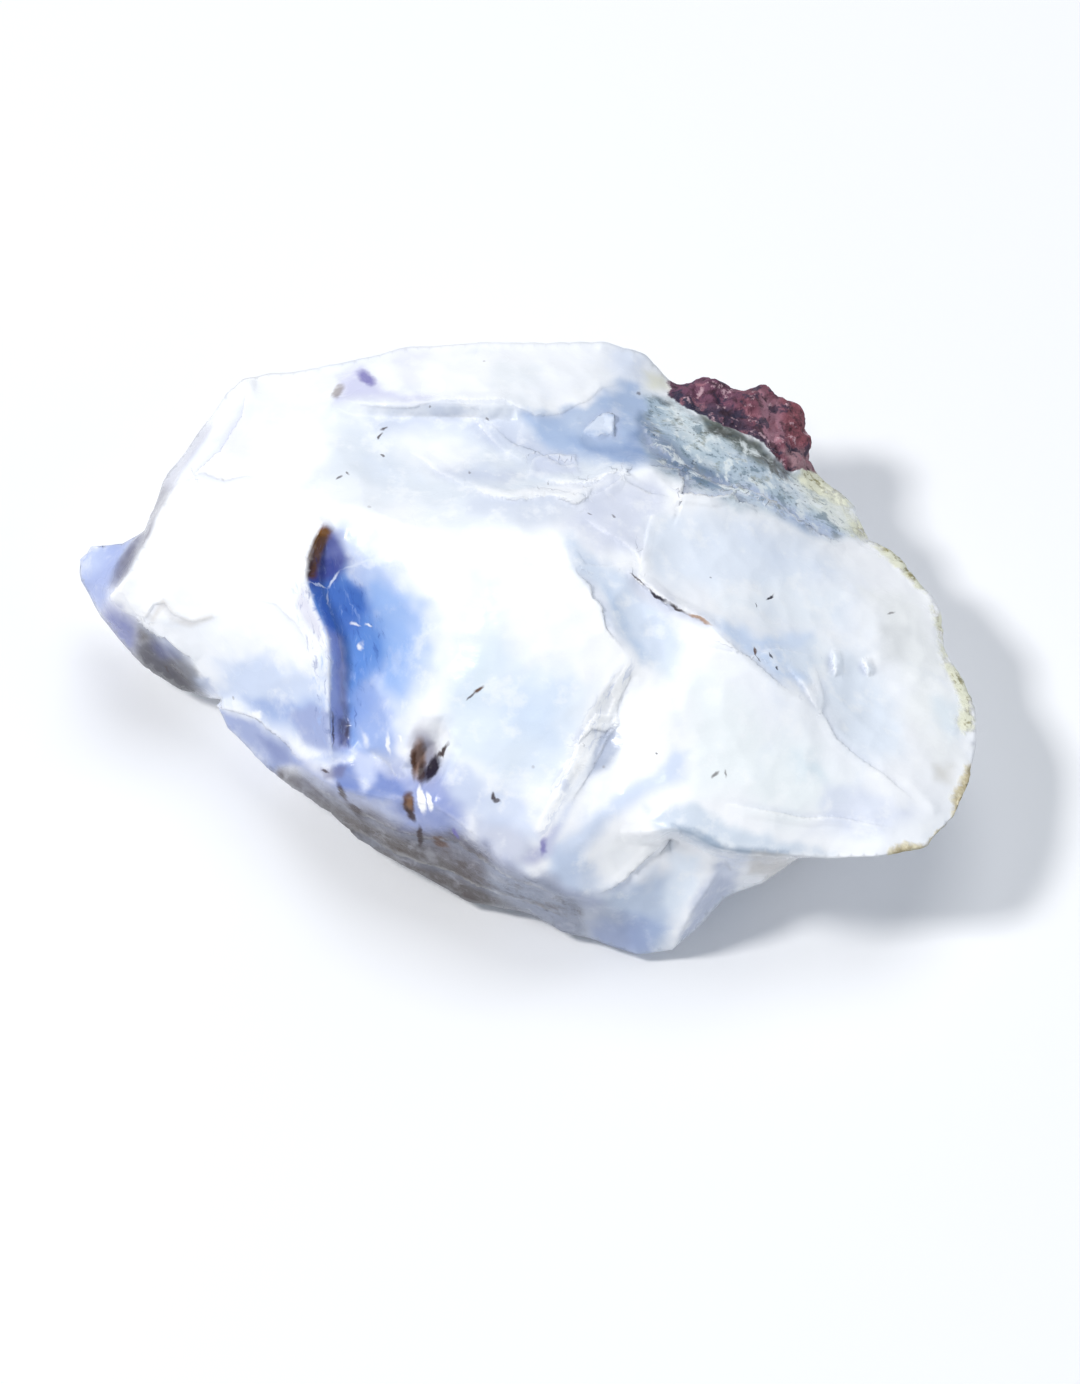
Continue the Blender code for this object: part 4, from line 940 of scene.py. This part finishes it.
def lip_relief(places):
    """The broken lips at each place: their height, and the nearest one's reach, gap and rise."""
    height = np.zeros(len(places))
    nearest = np.full(len(places), LIP_REACH)
    nearest_side = np.ones(len(places))
    nearest_rise = np.zeros(len(places))
    for line, rise, run_out, high_side in LIPS.values():
        gap, side, share = from_line(places, line)
        fade = np.sin(share * math.pi).clip(0, 1) ** LIP_TAPER
        beyond = ease(gap, run_out * 3, run_out * 2)
        above_line = np.exp(-gap / run_out)
        below_line = -LIP_DIP * np.exp(-gap / LIP_DIP_RUN)
        height += rise * np.where(side == high_side, above_line, below_line) * fade * beyond
        closer = gap < nearest
        nearest[closer] = gap[closer]
        nearest_side[closer] = side[closer] * high_side
        nearest_rise[closer] = (rise * fade)[closer]
    return height, nearest, nearest * nearest_side, nearest_rise


def above(depth, share):
    """A depth inside an outline, kept within its limit, and well outside where the share is 0."""
    return np.clip(depth, -DEPTH_LIMIT, DEPTH_LIMIT) * share - DEPTH_LIMIT * (1 - share)


def stone_masks(mesh, sheet):
    """Everything that the relief and the colours need to know about each point of the stone."""
    points = read_points(mesh)
    normals = read_normals(mesh)
    places = sheet.places(points)
    broad = noise_pair(points, BROAD_SIZE, 1)
    small = noise_pair(points, SMALL_SIZE, 3)
    above_foot = ease(points[:, 2], *ROCK_STARTS)
    open_share = np.clip(normals @ np.array(TOWARD_SIGHT) * OPEN_GAIN, 0, 1)
    seen = seen_share(mesh, points, normals)
    scab = inside_by(places + small * SCAB_BEND, SCAB_OUTLINE)
    rind = RIND_HALF - from_line(places, RIND_LINE)[0] + broad[:, 0] * RIND_RAGGED
    cream = CREAM_HALF - from_line(places, CREAM_LINE)[0] + broad[:, 1] * CREAM_RAGGED
    return {
        "points": points,
        "normals": normals,
        "places": places,
        "nudged": places + broad * LIP_BEND,
        "warp": (broad * BROAD_BEND + small * SMALL_BEND) * open_share[:, None],
        "patchy": (broad[:, 0] + small[:, 1] * 0.6) * open_share,
        "steep": ease(open_share, STEEP_FROM, STEEP_FULL),
        "seen": seen,
        "shown": np.minimum(seen * 2, 1),
        "rock": above(scab, above_foot),
        "rind": above(rind, above_foot),
        "cream": above(cream, above_foot),
    }


def relief(masks):
    """How far each point moves along its normal, in millimetres, and the lips beside it."""
    points = masks["points"]
    seen = masks["seen"]
    on_rock = ease(masks["rock"], -0.2, 0.5)
    on_rind = np.maximum(ease(masks["rind"], 0, 0.8), ease(masks["cream"], 0, 0.8))
    lips, reach, gap, rise = lip_relief(masks["nudged"])
    far = summed(scallops, points, FAR_SHELLS, SHELL_LEVEL)
    near = summed(scallops, points, NEAR_SHELLS, SHELL_LEVEL)
    grain = summed(clouds_of_noise, points, OPAL_GRAIN)
    crumbs = summed(clouds_of_noise, points, ROCK_CRUMBS)
    crust = summed(clouds_of_noise, points, RIND_CRUST)
    opal = (lips + near) * seen + far * (1 - seen) + grain + crust * on_rind
    move = opal * (1 - on_rock) + crumbs * on_rock
    return move, reach, gap, rise * seen * (1 - on_rock)


def laid_over(colour, clouds, masks):
    """A colour for each point, with the named clouds laid over it one after another."""
    for outline, softness, strength, tint in clouds.values():
        places = masks["places"] + masks["warp"] * min(1.0, softness)
        depth = inside_by(places, outline) + masks["patchy"] * softness * PATCHINESS
        share = ease(depth, -softness, softness) * strength * masks["shown"]
        colour = colour + (tint - colour) * share[:, None]
    return colour


def evened(mesh, colour, share):
    """A colour for each point, averaged with its neighbours' by a share."""
    soft = np.stack([spread(mesh, channel, STEEP_ROUNDS) for channel in colour.T], axis=1)
    return colour + (soft - colour) * share[:, None]


def opal_colour(mesh, masks):
    """The opal's body colour, drifting between white and a cool white, under its clouds."""
    drift = ease(summed(clouds_of_noise, masks["points"], COLOUR_DRIFT), -0.25, 0.6)
    cooler = drift * (0.25 + 0.6 * (1 - masks["seen"]))
    body = OPAL_WHITE + (OPAL_COOL - OPAL_WHITE) * cooler[:, None]
    return evened(mesh, laid_over(body, CLOUDS, masks), masks["steep"])


def rock_colour(masks):
    """The host rock's colour before its grains."""
    maroon = np.tile(ROCK_MAROON, (len(masks["points"]), 1))
    return laid_over(maroon, ROCK_CLOUDS, masks)


def keep(mesh, name, values):
    """Stores one number or one colour for each point of the mesh."""
    if values.ndim == 1:
        layer = mesh.attributes.new(name, "FLOAT", "POINT")
        layer.data.foreach_set("value", values.astype(np.float32))
    else:
        layer = mesh.attributes.new(name, "FLOAT_COLOR", "POINT")
        full = np.concatenate([values, np.ones((len(values), 1))], axis=1)
        layer.data.foreach_set("color", full.astype(np.float32).ravel())


def strand_mask(masks, cloud):
    """1 within a cloud's outline and 0 outside it, on the side that is seen."""
    depth = inside_by(masks["places"] + masks["warp"] * STRAND_BEND, CLOUDS[cloud][0])
    return ease(depth, -0.5, 0.7) * masks["seen"]


def dress_stone(node):
    """The finely broken stone that stands for the plain solid."""
    mesh = finely_cut(node)
    sheet = Sheet(read_points(node.data))
    masks = stone_masks(mesh, sheet)
    move, reach, gap, rise = relief(masks)
    low, high = (np.array(corner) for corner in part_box(STONE))
    points = masks["points"]
    off_floor = ease(points[:, 2], *RELIEF_STARTS)
    moved = points + masks["normals"] * (move * off_floor * MM)[:, None]
    write_points(mesh, np.clip(moved, low, high))
    keep(mesh, "opal colour", opal_colour(mesh, masks))
    keep(mesh, "rock colour", rock_colour(masks))
    keep(mesh, "lip reach", reach)
    keep(mesh, "lip gap", gap)
    keep(mesh, "lip rise", rise)
    for name in ("seen", "rock", "rind", "cream"):
        keep(mesh, name, masks[name])
    for name, cloud in STRANDED.items():
        keep(mesh, name, strand_mask(masks, cloud))
    mesh.shade_smooth()
    piece = bpy.data.objects.new("opal_stone", mesh)
    bpy.context.scene.collection.objects.link(piece)
    return piece, sheet


class Paint:
    """Builds shader nodes in one material."""

    def __init__(self, name):
        self.material = bpy.data.materials.new(name)
        self.material.use_nodes = True
        self.tree = self.material.node_tree
        self.tree.nodes.clear()

    def node(self, kind, settings=None, **values):
        """Adds a node, with its settings made first and then its sockets' values or links."""
        made = self.tree.nodes.new(kind)
        for name, value in (settings or {}).items():
            setattr(made, name, value)
        for name, value in values.items():
            key = int(name[1:]) if name[0] == "_" else name.replace("_", " ")
            self.feed(made.inputs[key], value)
        return made

    def feed(self, socket, value):
        """Links a socket or a level to an input, or sets the input to a value."""
        if isinstance(value, Level):
            value = value.socket
        if isinstance(value, bpy.types.NodeSocket):
            self.tree.links.new(value, socket)
        elif isinstance(value, (tuple, list, np.ndarray)):
            numbers = [float(part) for part in value]
            if socket.type == "RGBA" and len(numbers) == 3:
                numbers.append(1.0)
            socket.default_value = numbers
        else:
            socket.default_value = value

    def stored(self, name):
        """A number kept on the mesh."""
        made = self.node("ShaderNodeAttribute", {"attribute_name": name})
        return Level(self, made.outputs["Fac"])

    def stored_colour(self, name):
        """A colour kept on the mesh."""
        return self.node("ShaderNodeAttribute", {"attribute_name": name}).outputs["Color"]

    def place(self):
        """The place on the piece, in metres."""
        return self.node("ShaderNodeTexCoord").outputs["Object"]

    def grain(self, place, name):
        """One of the noises in the table, from 0 to 1."""
        scale, detail, roughness, distortion, stretch = GRAINS[name]
        if stretch:
            place = self.node("ShaderNodeMapping", None, Vector=place, Scale=stretch).outputs[0]
        made = self.node(
            "ShaderNodeTexNoise", None, Vector=place, Scale=scale, Detail=detail,
            Roughness=roughness, Distortion=distortion)
        return Level(self, made.outputs["Fac"])

    def cells(self, place, scale):
        """The distance to the middle of the nearest of many small cells."""
        made = self.node("ShaderNodeTexVoronoi", {"feature": "F1"}, Vector=place, Scale=scale)
        return Level(self, made.outputs["Distance"])

    def ease(self, value, low, high, most=1.0):
        """Eases from 0 at low to the most at high."""
        made = self.node(
            "ShaderNodeMapRange", {"interpolation_type": "SMOOTHSTEP"}, Value=value,
            From_Min=low, From_Max=high, To_Max=most)
        return Level(self, made.outputs["Result"])

    def mix(self, share, first, second):
        """A colour part of the way from the first to the second."""
        made = self.node("ShaderNodeMix", {"data_type": "RGBA"}, _0=share, _6=first, _7=second)
        return made.outputs[2]

    def bump(self, height):
        """The surface roughened by a height in millimetres."""
        made = self.node("ShaderNodeBump", None, Strength=1.0, Distance=MM, Height=height)
        return made.outputs["Normal"]

    def finish(self, shader):
        """The material, with this shader on its surface."""
        self.node("ShaderNodeOutputMaterial", None, Surface=shader)
        return self.material


class Level:
    """A number in a shader that Python's own arithmetic builds on."""

    def __init__(self, paint, socket):
        self.paint = paint
        self.socket = socket

    def join(self, operation, first, second):
        made = self.paint.node("ShaderNodeMath", {"operation": operation}, _0=first, _1=second)
        return Level(self.paint, made.outputs[0])

    def __add__(self, other):
        return self.join("ADD", self, other)

    def __radd__(self, other):
        return self.join("ADD", other, self)

    def __sub__(self, other):
        return self.join("SUBTRACT", self, other)

    def __rsub__(self, other):
        return self.join("SUBTRACT", other, self)

    def __mul__(self, other):
        return self.join("MULTIPLY", self, other)

    def __rmul__(self, other):
        return self.join("MULTIPLY", other, self)

    def above(self, other):
        return self.join("MAXIMUM", self, other)


def sheet_place(paint, place, sheet):
    """Across and down on the sheet, in millimetres, nudged so that marks get natural edges."""
    split = paint.node("ShaderNodeSeparateXYZ", None, Vector=place)
    along, back, up = (Level(paint, split.outputs[index]) for index in range(3))
    across = along * (1 / MM) + SHEET_MIDDLE_ACROSS
    lift = back * (math.sin(SIGHT_ELEVATION) / MM) + up * (math.cos(SIGHT_ELEVATION) / MM)
    down = (SHEET_FOOT_DOWN + float(sheet.foot)) - lift
    across = across + (paint.grain(place, "wobble across") - 0.5) * MARK_WOBBLE
    down = down + (paint.grain(place, "wobble down") - 0.5) * MARK_WOBBLE
    return across, down


def strands(paint, across, down, name):
    """Noise drawn out into strands at an angle on the sheet."""
    lean, fineness = STRANDS[name]
    turn = math.radians(lean)
    along = across * math.cos(turn) + down * math.sin(turn)
    aside = down * math.cos(turn) - across * math.sin(turn)
    place = paint.node("ShaderNodeCombineXYZ", None, _0=along, _1=aside * fineness)
    return paint.grain(place.outputs[0], name)


def opal_levels(paint, place, across, down, bare):
    """The masks and noises by the names that the opal's tints give them."""
    levels = {name: paint.stored(name) for name in (*STRANDED, "rock")}
    for name in ("fine", "milk", "curd", "moss blotch", "moss olive", "smoke mottle"):
        levels[name] = paint.grain(place, name)
    for name in STRANDS:
        levels[name] = strands(paint, across, down, name)
    brightness = paint.node("ShaderNodeRGBToBW", None, _0=bare).outputs[0]
    levels["pale"] = paint.ease(brightness, 0.25, 0.75)
    levels["speck"] = paint.cells(place, SPECKS_PER_METRE)
    levels["specked"] = paint.ease(paint.grain(place, "specked"), 0.56, 0.66)
    levels["moss root"] = levels["rock"] + (levels["moss olive"] - 0.5) * 5.0
    levels["waxy"] = paint.ease(paint.grain(place, "wax"), 0.4, 0.65)
    return levels


def tinted(paint, colour, tints, levels):
    """A colour with the tints of a table laid over it."""
    for mask, grain, start, full, strength, tint in tints:
        share = paint.ease(levels[grain], start, full, strength)
        if mask:
            share = levels[mask] * share
        colour = paint.mix(share, colour, tint)
    return colour


def lipped(paint, place, colour, levels):
    """Thin edges are white along their crests, partly chipped and partly a painted highlight, and
    cool on their low side, a painted shade.
    """
    reach = paint.stored("lip reach")
    gap = paint.stored("lip gap") + (levels["fine"] - 0.5) * 0.30
    by_lip = paint.stored("lip rise") * paint.ease(reach, 1.3, 0.7)
    levels["lip crest"] = paint.ease(gap, 0.45, 0.05) * paint.ease(gap, -0.10, 0.04) * by_lip
    levels["lip step"] = paint.ease(gap, -0.14, 0.14) * paint.ease(reach, 1.3, 0.2) * by_lip
    # Painted shade on the low side of each lip.
    foot = paint.ease(gap, -1.0, -0.05) * paint.ease(gap, 0.03, -0.05) * by_lip
    colour = paint.mix(foot * 1.5, colour, LIP_SHADE_COLOUR)
    # The crest's white: chipped flakes and a painted highlight.
    broken = paint.ease(paint.grain(place, "chipping"), 0.38, 0.62)
    return paint.mix(levels["lip crest"] * broken * 1.7, colour, LIP_CREST_WHITE_AND_HIGHLIGHT)


def mark_share(paint, sheet_vector, start, end, half_width, border, strength):
    """The strength of a slim, tapering mark on the sheet, easing to 0 over its soft border."""
    run = (end[0] - start[0], end[1] - start[1])
    reach = math.hypot(*run) / 2 + half_width + border
    girth = half_width + border
    middle = (start[0] + run[0] / 2, start[1] + run[1] / 2, 0.0)
    within = paint.node(
        "ShaderNodeMapping", {"vector_type": "TEXTURE"}, Vector=sheet_vector, Location=middle,
        Rotation=(0.0, 0.0, math.atan2(run[1], run[0])), Scale=(reach, girth, 1.0))
    away = paint.node("ShaderNodeVectorMath", {"operation": "LENGTH"}, _0=within.outputs[0])
    return paint.ease(away.outputs["Value"], 1.0, 0.7 * half_width / girth, strength)


def marked(paint, colour, across, down):
    """The small inclusions, fissures and veins, and painted highlights, laid over the opal's colour
    where it is seen.
    """
    bare = colour
    flat = paint.node("ShaderNodeCombineXYZ", None, _0=across, _1=down).outputs[0]
    for start, end, half_width, border, stain, strength in MARKS:
        share = mark_share(paint, flat, start, end, half_width, border, strength)
        colour = paint.mix(share, colour, STAINS[stain])
    return paint.mix(paint.ease(paint.stored("seen"), 0.3, 0.7), bare, colour)


def weathered(paint, place, colour, levels):
    """The weathered skin along the right edge: olive and cream above, tan and cream below."""
    skin = paint.grain(place, "skin")
    rind = paint.ease(paint.stored("rind") + (skin - 0.5) * 2.6, 0.3, 1.3)
    olive = paint.mix(paint.ease(skin, 0.38, 0.52), RIND_OLIVE, RIND_CREAM)
    colour = paint.mix(rind * 0.92, colour, olive)
    crust = paint.ease(paint.stored("cream") + (skin - 0.5) * 2.0, 0.1, 0.9)
    tan = paint.mix(paint.ease(skin, 0.42, 0.62), CRUST_TAN, CRUST_CREAM)
    levels["rind"] = rind.above(crust)
    return paint.mix(crust * 0.85, colour, tan)


def weighted(levels, plain, extras):
    """A plain amount, with more of it where the named levels are high."""
    total = plain
    for name, weight in extras.items():
        total = total + levels[name] * weight
    return total


def opal_shader(paint, place, colour, levels):
    """Waxy opal. Chips, rind and the smoky front are duller."""
    hackle = paint.grain(place, "hackle") * weighted(levels, HACKLE_BUMP, MORE_HACKLE)
    height = paint.grain(place, "swell") * SWELL_BUMP + levels["fine"] * FINE_BUMP
    height = height + hackle + levels["lip step"] * LIP_BUMP
    shader = paint.node(
        "ShaderNodeBsdfPrincipled", None, Base_Color=colour,
        Roughness=weighted(levels, OPAL_ROUGHNESS, MORE_ROUGHNESS), IOR=OPAL_INDEX,
        Specular_IOR_Level=OPAL_SPECULAR, Normal=paint.bump(height))
    return shader.outputs[0]


def rock_shader(paint, place):
    """Crumbly, matt host rock with dark, pink and blue-black grains."""
    levels = {name: paint.grain(place, name) for name in ("rock mottle", "rock pink", "rock ink")}
    levels["crumbs"] = paint.cells(place, CRUMBS_PER_METRE)
    colour = tinted(paint, paint.stored_colour("rock colour"), ROCK_TINTS, levels)
    shader = paint.node(
        "ShaderNodeBsdfPrincipled", None, Base_Color=colour, Roughness=ROCK_ROUGHNESS,
        IOR=ROCK_INDEX, Normal=paint.bump(weighted(levels, 0.0, ROCK_BUMPS)))
    return shader.outputs[0]


def stone_material(sheet):
    """Opal all over, giving way to host rock on the scab."""
    paint = Paint("opal with host rock")
    place = paint.place()
    across, down = sheet_place(paint, place, sheet)
    colour = paint.stored_colour("opal colour")
    levels = opal_levels(paint, place, across, down, colour)
    colour = tinted(paint, colour, OPAL_TINTS, levels)
    colour = lipped(paint, place, colour, levels)
    colour = marked(paint, colour, across, down)
    colour = weathered(paint, place, colour, levels)
    opal = opal_shader(paint, place, colour, levels)
    edge = paint.grain(place, "rock edge") - 0.5
    share = paint.ease(levels["rock"] + edge * 0.9, -0.12, 0.12)
    rock = rock_shader(paint, place)
    both = paint.node("ShaderNodeMixShader", None, _0=share, _1=opal, _2=rock)
    return paint.finish(both.outputs[0])


def floor_material():
    """Pale, faintly mottled and matt."""
    paint = Paint("pale floor")
    colour = paint.mix(paint.grain(paint.place(), "floor"), *FLOOR_COLOURS)
    shader = paint.node(
        "ShaderNodeBsdfPrincipled", None, Base_Color=colour, Roughness=FLOOR_ROUGHNESS)
    return paint.finish(shader.outputs[0])


def lay_floor():
    """A plain pale floor under the stone."""
    bm = bmesh.new()
    bmesh.ops.create_grid(bm, x_segments=1, y_segments=1, size=FLOOR_HALF)
    mesh = bpy.data.meshes.new("floor")
    bm.to_mesh(mesh)
    bm.free()
    mesh.materials.append(floor_material())
    floor = bpy.data.objects.new("floor", mesh)
    bpy.context.scene.collection.objects.link(floor)
    floor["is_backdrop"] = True


def light_studio():
    """Soft light from the upper left, a broad box overhead and a cool, weak fill."""
    for name, place, side, watts, colour in LIGHTS:
        data = bpy.data.lights.new(name, "AREA")
        data.size = side
        data.energy = watts
        data.color = colour
        lamp = bpy.data.objects.new(name, data)
        lamp.location = place
        lamp.rotation_euler = Vector(place).to_track_quat("Z", "Y").to_euler()
        lamp.visible_camera = False
        bpy.context.scene.collection.objects.link(lamp)
    world = bpy.data.worlds.new("studio")
    world.use_nodes = True
    background = world.node_tree.nodes["Background"]
    background.inputs["Color"].default_value = (*SKY_COLOUR, 1.0)
    background.inputs["Strength"].default_value = SKY_STRENGTH
    bpy.context.scene.world = world
    bpy.context.scene.view_settings.view_transform = "Standard"


def place_camera(sheet):
    """A long lens at the photograph's angle, framed as the photograph is."""
    data = bpy.data.cameras.new("camera")
    data.lens = LENS
    data.sensor_width = SENSOR
    data.clip_start = 0.01
    camera = bpy.data.objects.new("camera", data)
    bpy.context.scene.collection.objects.link(camera)
    toward = Vector(TOWARD_SIGHT)
    middle_across = (PHOTO_WIDTH / 2 - SHEET_MIDDLE_ACROSS) * MM
    middle_up = (sheet.foot + SHEET_FOOT_DOWN - PHOTO_HEIGHT / 2) * MM
    low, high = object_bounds()
    depth = ((low + high) / 2).dot(toward)
    distance = PHOTO_HEIGHT * MM * LENS / SENSOR
    middle = Vector((middle_across, 0, 0)) + Vector(SHEET_UP) * middle_up
    camera.location = middle + toward * (depth + distance)
    camera.rotation_euler = toward.to_track_quat("Z", "Y").to_euler()
    bpy.context.scene.camera = camera


def main():
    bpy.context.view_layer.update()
    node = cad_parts[STONE]
    piece, sheet = dress_stone(node)
    piece.data.materials.clear()
    piece.data.materials.append(stone_material(sheet))
    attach(piece, "root")
    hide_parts(STONE)
    lay_floor()
    light_studio()
    place_camera(sheet)


main()
